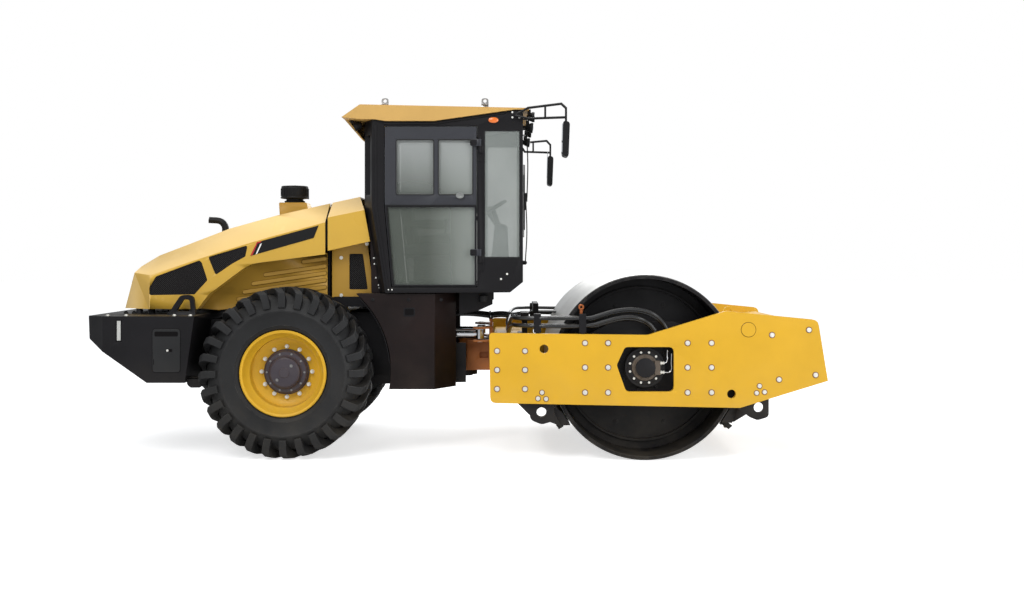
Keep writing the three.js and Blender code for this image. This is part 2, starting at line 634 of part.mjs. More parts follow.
function doorGlass() {
  const edge = 8;
  const line = [
    [DOOR_REAR + 65 + edge, DOOR_BOTTOM + edge],
    [DOOR_FRONT - edge, DOOR_BOTTOM + edge],
    [DOOR_FRONT - edge, DOOR_TOP - 60],
    [DOOR_REAR + 60, DOOR_TOP - 60],
    [DOOR_REAR + 60, DOOR_SPLIT_Z],
    [DOOR_REAR + edge, DOOR_SPLIT_Z - 12],
  ];
  const inner = SIDE_IN + 2 - GAP;
  return mirrored(side(line, inner, inner + GLASS));
}

function cabFloor() {
  const half = SIDE_IN - GAP;
  const slab = side([
    [CAB_REAR + CAB_KNEE_RUN + 1, CAB_FLOOR_Z],
    [mid(400), CAB_FLOOR_Z + 5],
    [mid(443), CAB_FLOOR_Z + 40],
    [mid(443), CAB_FLOOR_Z + 55],
    [CAB_REAR + CAB_KNEE_RUN - 7, CAB_FLOOR_Z + 55],
  ], -half, half);
  const bracket = both(side([
    [mid(-60), CAB_FLOOR_Z + 20], [mid(242), CAB_FLOOR_Z + 20], [mid(242), CAB_FLOOR_Z - 109],
    [mid(100), CAB_FLOOR_Z - 172, 10], [mid(-60), CAB_FLOOR_Z - 200],
  ], TANK_IN + 60, TANK_IN + 75));
  const beam = box(mid(-60), mid(-20), -TANK_IN - 70, TANK_IN + 70, CAB_FLOOR_Z - 90, CAB_FLOOR_Z + 20);
  const mountY = TANK_IN + 110;
  const mount = (x) => both(bar(40, [x, mountY, TANK_TOP + GAP], [x, mountY, CAB_FLOOR_Z + 20], 12));
  return join(slab, bracket, beam, mount(mid(-600)), mount(mid(-330)));
}

// Half of the plan outline of the rear wall, drawn in by a wall's thickness.
const cabBackLine = (wall) => [
  [CAB_REAR - GAP, CAB_HALF - wall * 1.6],
  [CAB_BACK + wall, CAB_BACK_HALF - wall * 0.5],
];
const mirroredBack = (points) => [...points, ...points.map(([x, y]) => [x, -y]).reverse()];

// The room inside the rear wall's outline, open to the front by reach and sloping below the knee.
function cabBack(wall, reach, over) {
  const slope = CAB_KNEE_RUN / (CAB_KNEE_Z - CAB_FLOOR_Z);
  const [corner, flat] = cabBackLine(wall);
  const ring = (z, shift) => {
    const points = mirroredBack([[corner[0] + reach, corner[1]], corner, flat]);
    return points.map(([x, y]) => [x + shift, y, z]);
  };
  return loft([
    ring(CAB_FLOOR_Z - over, CAB_KNEE_RUN + slope * over),
    ring(CAB_KNEE_Z, 0),
    ring(CAB_CEILING_Z + 15 + over, 0),
  ]);
}

function cabRear() {
  const wall = cut(cabBack(0, 0.01, 0), cabBack(CAB_WALL, 60, 1));
  const [low, tall] = [CAB_KNEE_Z + 115, CAB_CEILING_Z - 115];
  const back = section([
    [-CAB_BACK_HALF + 50, low, 30], [CAB_BACK_HALF - 50, low, 30],
    [CAB_BACK_HALF - 50, tall, 30], [-CAB_BACK_HALF + 50, tall, 30],
  ], CAB_BACK - 10, CAB_REAR);
  const corner = both(box(CAB_BACK - 10, CAB_REAR + 20, CAB_BACK_HALF + 22, CAB_HALF - 45, low, tall));
  return cut(wall, back, corner);
}

// One bent pane that closes the rear window and both corner windows from inside.
function rearWindow() {
  const outer = mirroredBack(cabBackLine(CAB_WALL + GAP * 2));
  const inner = mirroredBack(cabBackLine(CAB_WALL + GAP * 2 + GLASS)).reverse();
  return plan([...outer, ...inner], CAB_KNEE_Z + 95, CAB_CEILING_Z - 95);
}

const SCREEN_HALF = SIDE_IN - 40;
const SCREEN = [
  [-SCREEN_HALF, CAB_FLOOR_Z + 311, 25], [SCREEN_HALF, CAB_FLOOR_Z + 311, 25],
  [SCREEN_HALF, CAB_CEILING_Z - 20, 25], [-SCREEN_HALF, CAB_CEILING_Z - 20, 25],
];

function cabFront() {
  const half = SIDE_IN - GAP;
  const wall = side([
    [mid(443) + GAP, CAB_FLOOR_Z + 41],
    [CAB_FRONT, CAB_FLOOR_Z + 98],
    [CAB_FRONT, CAB_CEILING_Z + BROW_RISE],
    [CAB_FRONT - CAB_WALL, CAB_CEILING_Z + BROW_RISE],
    [CAB_FRONT - CAB_WALL, CAB_FLOOR_Z + 115],
    [mid(443) + GAP, CAB_FLOOR_Z + 75],
  ], -half, half);
  return cut(wall, section(SCREEN, CAB_FRONT - CAB_WALL - 1, CAB_FRONT + 1));
}

function windshield() {
  const middle = CAB_FRONT - 14;
  return section(drawnIn(SCREEN, GAP), middle - GLASS, middle);
}

function roof() {
  const tip = CAB_REAR - 267;
  const nose = CAB_FRONT + 53;
  const line = (drop) => [
    [tip, CAB_CEILING_Z + 34],
    [CAB_REAR - 100, CAB_CEILING_Z + 15 + GAP],
    ...CEILING.map(([x, z]) => [x, z + GAP]),
    [nose, CAB_CEILING_Z + BROW_RISE + GAP],
    [nose, ROOF_TOP_Z - 32 - drop],
    [tip + 156, ROOF_TOP_Z - drop],
  ];
  const narrow = ROOF_HALF - 60;
  const body = join(side(line(ROOF_STEP), -ROOF_HALF, ROOF_HALF), side(line(0), -narrow, narrow));
  const visorFoot = CAB_KNEE_Z + 619;
  const visor = side([
    [tip, CAB_CEILING_Z + 34],
    [tip + 156, visorFoot],
    [tip + 168, visorFoot],
    [tip + 30, CAB_CEILING_Z + 34],
  ], -CAB_BACK_HALF, CAB_BACK_HALF);
  const eye = (x) => {
    const plate = side([
      [x - 32, ROOF_TOP_Z - 60], [x - 32, ROOF_TOP_Z + 60, 25],
      [x + 32, ROOF_TOP_Z + 60, 25], [x + 32, ROOF_TOP_Z - 60],
    ], SIDE_IN - 50, SIDE_IN - 36);
    const eyeZ = ROOF_TOP_Z + 36;
    return both(cut(plate, bar(16, [x, SIDE_IN - 51, eyeZ], [x, SIDE_IN - 35, eyeZ], 12)));
  };
  return join(body, visor, eye(mid(-718)), eye(mid(176)));
}

function seat() {
  const base = side([
    [mid(-540), CAB_FLOOR_Z + 55 + GAP], [mid(-120), CAB_FLOOR_Z + 55 + GAP],
    [mid(-150), CAB_FLOOR_Z + 330], [mid(-520), CAB_FLOOR_Z + 330],
  ], -190, 190);
  const cushion = side([
    [mid(-600), CAB_FLOOR_Z + 325, 30], [mid(-90), CAB_FLOOR_Z + 330, 40],
    [mid(-90), CAB_FLOOR_Z + 440, 50], [mid(-600), CAB_FLOOR_Z + 420, 30],
  ], -255, 255);
  const back = side([
    [mid(-560), CAB_FLOOR_Z + 400, 20], [mid(-460), CAB_FLOOR_Z + 400, 20],
    [mid(-580), CAB_FLOOR_Z + 930, 40], [mid(-680), CAB_FLOOR_Z + 930, 40],
  ], -235, 235);
  const arm = both(join(
    side([[mid(-560), CAB_FLOOR_Z + 600, 15], [mid(-200), CAB_FLOOR_Z + 600, 25],
      [mid(-200), CAB_FLOOR_Z + 660, 25], [mid(-560), CAB_FLOOR_Z + 660, 15]], 262, 330),
    box(mid(-570), mid(-530), 230, 300, CAB_FLOOR_Z + 560, CAB_FLOOR_Z + 640),
  ));
  return join(base, cushion, back, arm);
}

function steeringColumn() {
  const floor = CAB_FLOOR_Z + 55 + GAP;
  const console = side([
    [mid(170), floor], [mid(400), floor], [mid(380), floor + 560, 40], [mid(260), floor + 600, 40],
    [mid(230), floor + 300],
  ], -110, 110);
  const hub = [mid(195), 0, floor + 700];
  const column = bar(26, [mid(300), 0, floor + 540], hub, 12);
  const tilt = new THREE.Euler(0, -0.55, 0);
  const wheel = new THREE.TorusGeometry(190, 15, 5, 16).applyMatrix4(
    new THREE.Matrix4().makeRotationFromEuler(tilt).setPosition(...hub));
  const spoke = (turn) => {
    const end = new THREE.Vector3(Math.cos(turn) * 190, Math.sin(turn) * 190, 0).applyEuler(tilt);
    return bar(11, hub, [hub[0] + end.x, end.y, hub[2] + end.z], 8);
  };
  const boss = bar(45, [hub[0] - 18, 0, hub[2] + 28], [hub[0] + 12, 0, hub[2] - 20], 12);
  return join(console, column, solid(wheel), spoke(0), spoke(2.1), spoke(-2.1), boss);
}

// A rear-view mirror on its tube arm, on the right at hand -1 and on the left at hand 1.
function mirror(hand, drop, reach) {
  const y0 = CAB_HALF + 14 + GAP;
  const top = CAB_CEILING_Z + 75 - drop;
  const y = (out) => hand * (y0 + out);
  const tip = mid(888) - reach;
  const foot = bar(16, [mid(450), y(0), CAB_CEILING_Z + 55], [mid(450), y(40), CAB_CEILING_Z + 55], 12);
  const arm = rail(11, [
    [mid(450), y(30), CAB_CEILING_Z + 55], [mid(560), y(60), top + 34],
    [tip - 40, y(130), top + 61], [tip, y(150), top + 20], [tip, y(150), top - 130],
  ]);
  const lower = rail(11, [
    [mid(450), y(36), CAB_CEILING_Z + 45], [mid(560), y(60), top - 60], [tip, y(150), top - 60],
  ]);
  const rung = bar(9, [tip - 180, y(106), top + 56], [tip - 180, y(106), top - 60], 8);
  const housing = side([
    [tip - 35, top - 400, 30], [tip + 18, top - 414, 30],
    [tip + 30, top - 110, 30], [tip - 28, top - 96, 30],
  ], -90, 90).translate([0, y(150), 0]);
  return join(foot, arm, lower, rung, housing);
}

// ---- rear wheels, built around their own axle ----
const HUB_R = 199;
const WHEEL_FACETS = 36;

function tyre() {
  const half = TYRE_WIDTH / 2;
  const bead = RIM_DIAMETER / 2;
  return turned([
    [bead, -half + 55], [bead + 60, -half + 8], [TYRE_R - 120, -half], [TYRE_R - 45, -half + 22],
    [TYRE_R, -half + 62], [TYRE_R, half - 62], [TYRE_R - 45, half - 22], [TYRE_R - 120, half],
    [bead + 60, half - 8], [bead, half - 55],
  ], WHEEL_FACETS);
}

// The rim with its disc and hub, its outer face on the -Y side.
function wheel() {
  const half = TYRE_WIDTH / 2;
  const out = RIM_DIAMETER / 2 - GAP * 2;
  const disc = -half + 262;
  const rim = turned([
    [out, -half + 56], [out - 12, -half + 30], [out - 95, -half + 44], [out - 100, -half + 70],
    [out - 92, disc], [HUB_R, disc], [HUB_R, disc + 24], [out - 92, disc + 24],
    [out - 88, half - 60], [out, half - 56],
  ], WHEEL_FACETS);
  const hub = bar(HUB_R - 1, [0, -half + 90, 0], [0, disc + 60, 0], 24);
  const seat = TYRE_IN - 20 + RUNNING_GAP - WHEEL_TRACK / 2;
  const inner = bar(150, [0, disc + 20, 0], [0, -seat, 0], 24);
  const collar = bar(HUB_R + 20, [0, disc + 2, 0], [0, disc + 22, 0], 24);
  return join(rim, collar, hub, inner);
}

// ---- yoke and steering cylinders ----
const YOKE_HALF = 180;
const FLANGE_X = mid(247); // front face of the yoke's flange
const CLEVIS_GAP = 10; // above and below the rod's eye

function yoke() {
  const barrelLow = FORK_GAP + RUNNING_GAP;
  const barrelTop = FORK_TOP - RUNNING_GAP;
  const barrel = bar(BARREL_RADIUS, [PIVOT_X, 0, barrelLow], [PIVOT_X, 0, barrelTop], 20);
  const block = box(PIVOT_X, mid(240), -YOKE_HALF, YOKE_HALF, high(-142), high(143));
  const recess = (y0, y1) => side([
    [mid(117), high(-29), 10], [mid(197), high(-29), 10],
    [mid(197), high(30), 10], [mid(117), high(30), 10],
  ], y0, y1);
  const slots = join(recess(-YOKE_HALF - 1, -YOKE_HALF + 40), recess(YOKE_HALF - 40, YOKE_HALF + 1));
  const flange = bar(150, [mid(230), 0, PIVOT_Z], [FLANGE_X, 0, PIVOT_Z], 24);
  const shaft = bar(SHAFT_RADIUS, [mid(240), 0, PIVOT_Z], [BEAM_FRONT - 20, 0, PIVOT_Z], 24);
  const clevisIn = CYLINDER_Y - 120;
  const clevisOut = CYLINDER_Y + 60;
  const leaf = (z) => both(plan([
    [mid(60), CYLINDER_Y - 40, 30], [mid(60), clevisOut, 30], [mid(205), clevisOut, 30],
    [mid(240), CYLINDER_Y, 20], [mid(240), clevisIn - 90], [mid(205), clevisIn - 90],
    [mid(160), clevisIn], [mid(110), clevisIn + 20],
  ], z, z + LUG_THICKNESS));
  const lower = CYLINDER_Z - EYE_HALF - CLEVIS_GAP - LUG_THICKNESS;
  const upper = CYLINDER_Z + EYE_HALF + CLEVIS_GAP;
  const webReach = CYLINDER_Y - 10;
  const web = box(mid(208), mid(240), -webReach, webReach, high(140), upper + LUG_THICKNESS);
  const bridge = join(
    box(mid(212), mid(236), -130, 130, high(250), HOSE_Z - HOSE_R - 6),
    box(mid(206), mid(238), -150, 150, HOSE_Z - HOSE_R - 22, HOSE_Z - HOSE_R - GAP),
  );
  const room = bar(FORK_R + 12, [PIVOT_X, 0, high(144)], [PIVOT_X, 0, high(400)], 24);
  const frame = cut(join(block, leaf(lower), leaf(upper), web), room);
  return join(cut(frame, slots), barrel, flange, shaft, bridge);
}

// A steering cylinder's barrel, with its base eye at the origin and its mouth at +X.
const BARREL_LENGTH = 545;
const ROD_LENGTH = 510; // from the eye to the piston's end

function cylinderBarrel() {
  const eye = bar(CYLINDER_RADIUS, [0, 0, -EYE_HALF], [0, 0, EYE_HALF], 16);
  const tube = bar(CYLINDER_RADIUS, [52, 0, 0], [BARREL_LENGTH, 0, 0], 16);
  const bore = bar(ROD_RADIUS + 4, [68, 0, 0], [BARREL_LENGTH + 1, 0, 0], 16);
  const eyeNeck = box(0, 60, -30, 30, -28, 28);
  return cut(join(eye, eyeNeck, tube), bore);
}

// Its rod, with the eye at the origin and the piston end at -X.
function cylinderRod() {
  const eye = bar(40, [0, 0, -EYE_HALF], [0, 0, EYE_HALF], 16);
  const rod = bar(ROD_RADIUS, [10 - ROD_LENGTH, 0, 0], [-20, 0, 0], 16);
  const piston = bar(ROD_RADIUS + 3.5, [-ROD_LENGTH, 0, 0], [40 - ROD_LENGTH, 0, 0], 16);
  return join(eye, rod, piston);
}

// ---- front frame ----
const PLATE_BACK = mid(220);
const NOSE = fore(FRONT_OVERHANG);
const BEAM_BACK = FLANGE_X + RUNNING_GAP; // the rear beam's two faces
const BEAM_FRONT = mid(567);
const PLATE_TOP = 303; // the side plate's upper edge above the drum axis, at its back
const PLATE_KNEE = 286; // and above the drum
const WINDOW_HALF_HEIGHT = 190;
const FASTENED = PLATE_IN - GAP; // width out to which the crossing pieces reach
const dz = (z) => DRUM_R + z; // measured from the drum axis

function sidePlate() {
  const plate = side([
    [PLATE_BACK, dz(PLATE_TOP), 30], [fore(16), dz(PLATE_KNEE), 60],
    [fore(683), dz(491), 80], [NOSE - 86, dz(414), 60],
    [NOSE, dz(-107)], [fore(802), dz(-338), 60], [PLATE_BACK + 9, dz(-296), 50],
  ], PLATE_IN, PLATE_OUT);
  const window = side([
    [fore(-252), dz(29), 40], [fore(-181), dz(WINDOW_HALF_HEIGHT - 7), 40],
    [fore(238), dz(WINDOW_HALF_HEIGHT - 7), 45], [fore(238), dz(-WINDOW_HALF_HEIGHT - 10), 45],
    [fore(-172), dz(-WINDOW_HALF_HEIGHT - 10), 45],
  ], PLATE_IN - 1, PLATE_OUT + 1);
  const hole = (x, z) => bar(38, [x, PLATE_IN - 1, z], [x, PLATE_OUT + 1, z], 20);
  const boss = bar(60, [fore(879), PLATE_OUT - 2, dz(333)], [fore(879), PLATE_OUT - GAP, dz(333)], 20);
  return mirrored(join(cut(plate, window, hole(mid(689), dz(166)), hole(fore(730), dz(-219))), boss));
}

function rearBeam() {
  const beam = side([
    [BEAM_BACK, dz(-240), 25], [BEAM_FRONT, dz(-240), 25],
    [BEAM_FRONT, dz(215), 25], [BEAM_BACK, dz(215), 25],
  ], -FASTENED, FASTENED);
  const facets = 24;
  const boreR = (SHAFT_RADIUS + SHAFT_CLEARANCE) / Math.cos(Math.PI / facets);
  return cut(beam, bar(boreR, [BEAM_BACK - 1, 0, PIVOT_Z], [BEAM_FRONT + 1, 0, PIVOT_Z], facets));
}

function frontBeam() {
  return side([
    [fore(1015), dz(340), 30], [NOSE - 105, dz(380), 30],
    [NOSE - 50, dz(-110), 30], [fore(1075), dz(-160), 30],
  ], -FASTENED, FASTENED);
}

// Carries one end of the drum: a plate inside the drum's recess, bolted to the side plate through
// two spacer blocks, with the bearing hub inside and the drive motor outside.
function drumMount() {
  const plateIn = PLATE_IN - 150;
  const plate = side([
    [fore(-575), dz(-200), 80], [fore(-300), dz(-330), 80], [fore(300), dz(-330), 80],
    [fore(605), dz(-200), 80], [fore(605), dz(230), 80], [fore(270), dz(390), 120],
    [fore(-270), dz(390), 120], [fore(-575), dz(230), 80],
  ], plateIn, plateIn + 40);
  const spacer = (x0, x1) => box(x0, x1, plateIn + 30, FASTENED, dz(-200), dz(220));
  const hub = bar(260, [DRUM_X, DRUM_END - DRUM_RECESS + 40, DRUM_R], [DRUM_X, plateIn + 10, DRUM_R], 24);
  const thrust = [DRUM_X, DRUM_END - DRUM_RECESS + RUNNING_GAP, DRUM_R];
  const bearing = bar(150, thrust, [DRUM_X, plateIn, DRUM_R], 24);
  const motor = bar(150, [DRUM_X, plateIn + 30, DRUM_R], [DRUM_X, PLATE_IN - 40, DRUM_R], 24);
  const motorEnd = bar(85, [DRUM_X, PLATE_IN - 60, DRUM_R], [DRUM_X, PLATE_IN + 10, DRUM_R], 16);
  const spacers = join(spacer(fore(-575), fore(-285)), spacer(fore(305), fore(605)));
  return mirrored(join(plate, spacers, hub, bearing, motor, motorEnd));
}

// ---- drum, built around its own axle ----
const DRUM_FACETS = 48;

function drumShell() {
  const bevel = 14;
  return turned([
    [DRUM_R - DRUM_WALL, -DRUM_END], [DRUM_R - bevel, -DRUM_END], [DRUM_R, -DRUM_END + bevel],
    [DRUM_R, DRUM_END - bevel], [DRUM_R - bevel, DRUM_END], [DRUM_R - DRUM_WALL, DRUM_END],
  ], DRUM_FACETS);
}

function drumCore() {
  const face = DRUM_END - DRUM_RECESS;
  const rim = DRUM_R - DRUM_WALL - GAP;
  const thick = 35;
  return turned([
    [0, -face], [rim, -face], [rim, -face + thick], [200, -face + thick],
    [200, face - thick], [rim, face - thick], [rim, face], [0, face],
  ], DRUM_FACETS);
}

// ---- scrapers with the tie-down lugs beside them ----
const SCRAPER_GAP = 12; // blade edge to the drum
const SCRAPER_ARM = 70; // width of each arm
const SCRAPER_EDGE = DRUM_R / Math.cos(Math.PI / DRUM_FACETS) + SCRAPER_GAP; // from the drum's axis
const SCRAPER_HALF = DRUM_END - 20;

// A point at an angle below the horizontal and a radius, behind (-1) or before (1) the drum.
const around = (way) => (angle, radius) => [
  fore(way * radius * Math.cos(angle)), dz(-radius * Math.sin(angle)),
];

function tieDown(x0, x1, top, low) {
  return both(side([
    [x0, top], [x1, top], [x1, low + 30, 40], [(x0 + x1) / 2, low, 60], [x0, low + 40, 60],
  ], FASTENED - 35, FASTENED));
}

function tieDownHole(x, z) {
  return both(bar(43, [x, FASTENED - SCRAPER_ARM - 1, z], [x, FASTENED + 1, z], 20));
}

function rearScraper() {
  const edge = SCRAPER_EDGE;
  const at = around(-1);
  const blade = side([
    at(0.66, edge), at(0.5, edge), at(0.42, edge + 30), at(0.44, edge + 110), at(0.6, edge + 75),
  ], -SCRAPER_HALF, SCRAPER_HALF);
  const lugs = tieDown(mid(568), mid(775), dz(-290), dz(-486));
  const arm = both(side([
    [mid(400), dz(-240) - GAP], [mid(560), dz(-240) - GAP], [mid(640), dz(-300)],
    at(0.43, edge + 60), at(0.6, edge + 70), [mid(560), dz(-400)],
  ], FASTENED - SCRAPER_ARM, FASTENED));
  return cut(join(blade, arm, lugs), tieDownHole(mid(669), dz(-382)));
}

function frontScraper() {
  const edge = SCRAPER_EDGE;
  const at = around(1);
  const blade = side([
    at(0.62, edge), at(0.47, edge), at(0.4, edge + 30), at(0.43, edge + 110), at(0.57, edge + 75),
  ], -SCRAPER_HALF, SCRAPER_HALF);
  const lugs = tieDown(fore(862), fore(1058), dz(-250), dz(-450));
  const arm = both(side([
    at(0.42, edge + 60), at(0.55, edge + 74), [fore(980), dz(-330)],
    [fore(1180), dz(-158) - GAP * 3], [fore(1085), dz(-160) - GAP * 3], [fore(980), dz(-230)],
  ], FASTENED - SCRAPER_ARM, FASTENED));
  return cut(join(blade, arm, lugs), tieDownHole(fore(972), dz(-339)));
}

// ---- hoses ----
const HOSE_R = 22;
const PIPE_R = 18;
const HOSE_Z = high(359);
const CLAMP_X = [mid(602), mid(989)];

// Four hoses side by side, held by a strap at each end.
function hoseBundle(from, to, sag) {
  const along = (share) => from + (to - from) * share;
  const runs = [-100, -34, 34, 100].map((y) => hose(HOSE_R, [
    [along(0.04), y, HOSE_Z], [along(0.35), y, HOSE_Z + sag],
    [along(0.65), y, HOSE_Z + sag], [along(0.96), y, HOSE_Z],
  ], 6));
  const strap = (x) => box(x, x + 22, -126, 126, HOSE_Z - HOSE_R, HOSE_Z + 8);
  return join(...runs, strap(from), strap(to - 22));
}

// Steel pipes in two clamps on the right side plate, then hoses down to the drum's motor.
function hoseRun() {
  const y = -(PLATE_IN + PLATE_OUT) / 2;
  const inboard = SIDE_PLATE / 2 + 45;
  const rows = [dz(340), dz(419)];
  const slope = (PLATE_KNEE - PLATE_TOP) / (fore(16) - PLATE_BACK);
  const seat = dz(PLATE_TOP) + (CLAMP_X[0] - PLATE_BACK) * slope + GAP;
  const clamps = CLAMP_X.map((x) => box(x, x + 61, y - 18, y + 18, seat, dz(468)));
  const pipes = rows.map((z) => bar(PIPE_R, [CLAMP_X[0] - 60, y, z], [CLAMP_X[1] + 80, y, z]));
  const start = [CLAMP_X[1] + 62, y];
  const upper = hose(PIPE_R, [
    [...start, rows[1]], [fore(-380), y, dz(445)], [fore(-200), y + inboard * 0.6, dz(498)],
    [fore(-26), y + inboard, dz(500)], [fore(105), y + inboard, dz(462)], [fore(190), y + inboard, dz(370)],
  ], 14);
  const lower = hose(PIPE_R, [
    [...start, rows[0]], [fore(-376), y, dz(366)], [fore(-201), y + inboard * 0.6, dz(419)],
    [fore(-96), y + inboard, dz(432)], [fore(18), y + inboard, dz(419)], [fore(105), y + inboard, dz(360)],
  ], 14);
  const tie = box(fore(20), fore(50), y + inboard - 20, y + inboard + 20, dz(415), dz(500));
  return join(...clamps, ...pipes, upper, lower, tie);
}

// ---- assembly ----
add("rear_frame", rearFrame(), BLACK);
add("rear_axle", rearAxle(), BLACK);
addPair("tank", tank(), BLACK);
add("counterweight", counterweight(), BLACK);
add("engine", engine(), DARK_GREY);
add("hood", hood(), YELLOW);
addPair("hood_grille", hoodGrille(), BLACK);
add("precleaner", precleaner(), BLACK);
add("exhaust_elbow", exhaust(), BLACK);
add("cowl", cowl(), YELLOW);
add("cab_floor", cabFloor(), BLACK);
addPair("cab_side", cabSide(), BLACK);
add("cab_rear", cabRear(), BLACK);
add("cab_front", cabFront(), BLACK);
add("roof", roof(), YELLOW);
add("windshield", windshield(), TINTED);
add("rear_window", rearWindow(), TINTED);
addPair("quarter_glass", quarterGlass(), TINTED);
addPair("door", doorFrame(), DARK_GREY);
addPair("door_glass", doorGlass(), TINTED);
add("seat", seat(), CUSHION);
add("steering_column", steeringColumn(), DARK_GREY);
add("mirror_right", mirror(-1, 0, 0), BLACK);
add("mirror_left", mirror(1, 135, 60), BLACK);

for (const [hand, y, turn] of [["right", -WHEEL_TRACK / 2, 0], ["left", WHEEL_TRACK / 2, Math.PI]]) {
  add("tyre_" + hand, tyre(), RUBBER, [REAR_X, y, TYRE_R]).rotation.z = turn;
  add("wheel_" + hand, wheel(), YELLOW, [REAR_X, y, TYRE_R]).rotation.z = turn;
}

add("yoke", yoke(), OCHRE);
add("hoses_rear", hoseBundle(mid(-60), mid(222) - GAP, 18), BLACK);
add("hoses_front", hoseBundle(mid(222), mid(420), 10), BLACK);
for (const [hand, y] of [["right", -CYLINDER_Y], ["left", CYLINDER_Y]]) {
  add("steer_barrel_" + hand, cylinderBarrel(), BLACK, [BASE_PIN_X, y, CYLINDER_Z]);
  add("steer_rod_" + hand, cylinderRod(), CHROME, [ROD_EYE_X, y, CYLINDER_Z]);
}

addPair("side_plate", sidePlate(), YELLOW);
add("rear_beam", rearBeam(), YELLOW);
add("front_beam", frontBeam(), YELLOW);
addPair("drum_mount", drumMount(), DARK_STEEL);
add("scraper_rear", rearScraper(), BLACK);
add("scraper_front", frontScraper(), BLACK);
add("hose_run", hoseRun(), BLACK);
add("drum_shell", drumShell(), STEEL, [DRUM_X, 0, DRUM_R]);
add("drum_core", drumCore(), DARK_STEEL, [DRUM_X, 0, DRUM_R]);

export default machine;
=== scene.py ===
import json
import math

import bmesh
import bpy
from mathutils import Matrix, Vector
from mathutils.bvhtree import BVHTree


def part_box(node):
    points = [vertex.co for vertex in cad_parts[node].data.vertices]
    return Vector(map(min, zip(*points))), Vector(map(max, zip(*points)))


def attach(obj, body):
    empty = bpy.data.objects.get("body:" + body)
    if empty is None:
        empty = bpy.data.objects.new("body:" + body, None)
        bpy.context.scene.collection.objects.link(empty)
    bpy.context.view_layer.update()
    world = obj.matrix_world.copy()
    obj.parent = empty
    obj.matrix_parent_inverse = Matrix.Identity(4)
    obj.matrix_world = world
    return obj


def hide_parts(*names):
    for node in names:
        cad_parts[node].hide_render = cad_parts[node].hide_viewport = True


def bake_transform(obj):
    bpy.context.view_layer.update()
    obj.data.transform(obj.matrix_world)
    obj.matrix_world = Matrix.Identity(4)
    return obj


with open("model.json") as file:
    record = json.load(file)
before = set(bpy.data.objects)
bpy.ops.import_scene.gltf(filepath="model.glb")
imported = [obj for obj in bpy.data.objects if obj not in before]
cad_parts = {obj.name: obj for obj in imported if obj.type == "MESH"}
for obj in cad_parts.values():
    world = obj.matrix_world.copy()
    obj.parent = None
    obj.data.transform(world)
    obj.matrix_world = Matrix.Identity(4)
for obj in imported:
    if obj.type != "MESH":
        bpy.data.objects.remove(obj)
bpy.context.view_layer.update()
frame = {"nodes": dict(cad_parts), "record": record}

nodes = frame["nodes"]
scene = bpy.context.scene
scene.view_settings.view_transform = "Standard"

SIDES = (("right", -1), ("left", 1))
FULL_TURN = 2 * math.pi
MERGE_WITHIN = 2e-5  # points this close are one
OUTSIDE = 2.0  # beyond either side of the machine
HOOD_HALF = 0.66  # where a plate lies if it reaches past the hood's surface


def middle(node):
    """The centre of a node's box."""
    low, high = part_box(node)
    return (low + high) / 2


# ---- camera ----
camera_data = bpy.data.cameras.new("camera")
camera_data.lens = 39.06
camera_data.shift_x = 0.0068
camera_data.shift_y = -0.0425
camera = bpy.data.objects.new("camera", camera_data)
camera.location = (0.438, -10.65, 1.77)
camera.rotation_euler = (math.radians(90), 0, 0)
scene.collection.objects.link(camera)
scene.camera = camera


# ---- node wiring ----
def linear(red, green, blue):
    """A colour as seen on a screen, 0 to 255, in the renderer's own scale."""
    def one(value):
        share = value / 255
        return share / 12.92 if share <= 0.04045 else ((share + 0.055) / 1.055) ** 2.4
    return (one(red), one(green), one(blue), 1.0)


class Wiring:
    """Adds nodes to one tree, and joins each input to a socket or sets it to a plain value."""

    def __init__(self, tree):
        self.tree = tree

    def feed(self, socket, value):
        if isinstance(value, bpy.types.NodeSocket):
            self.tree.links.new(value, socket)
        elif value is not None:
            socket.default_value = value

    def node(self, kind, inputs=None, **settings):
        made = self.tree.nodes.new(kind)
        for key, value in settings.items():
            setattr(made, key, value)
        for key, value in (inputs or {}).items():
            self.feed(made.inputs[key], value)
        return made

    def maths(self, operation, first, second=None, clamp=False):
        made = self.node("ShaderNodeMath", {0: first, 1: second}, operation=operation)
        made.use_clamp = clamp
        return made.outputs[0]

    def fade(self, value, low, high, start=0.0, end=1.0):
        inputs = {"Value": value, "From Min": low, "From Max": high, "To Min": start, "To Max": end}
        return self.node("ShaderNodeMapRange", inputs).outputs["Result"]

    def mix(self, share, first, second):
        made = self.node("ShaderNodeMix", data_type="RGBA")
        for index, value in ((0, share), (6, first), (7, second)):
            self.feed(made.inputs[index], value)
        return made.outputs[2]

    def noise(self, vector, scale, detail=3.0, roughness=0.5):
        inputs = {"Vector": vector, "Scale": scale, "Detail": detail, "Roughness": roughness}
        return self.node("ShaderNodeTexNoise", inputs).outputs["Fac"]

    def place(self):
        return self.node("ShaderNodeTexCoord").outputs["Object"]

    def stretched(self, vector, scale):
        return self.node("ShaderNodeMapping", {"Vector": vector, "Scale": scale}).outputs[0]


def effect(name, inputs, outputs):
    """A reusable node group with named sockets: its wiring, its inputs and its outputs."""
    tree = bpy.data.node_groups.new(name, "ShaderNodeTree")
    for label, value in inputs.items():
        kind = "NodeSocketVector" if isinstance(value, tuple) else "NodeSocketFloat"
        tree.interface.new_socket(label, in_out="INPUT", socket_type=kind).default_value = value
    for label in outputs:
        tree.interface.new_socket(label, in_out="OUTPUT", socket_type="NodeSocketFloat")
    return Wiring(tree), tree.nodes.new("NodeGroupInput").outputs, tree.nodes.new("NodeGroupOutput").inputs


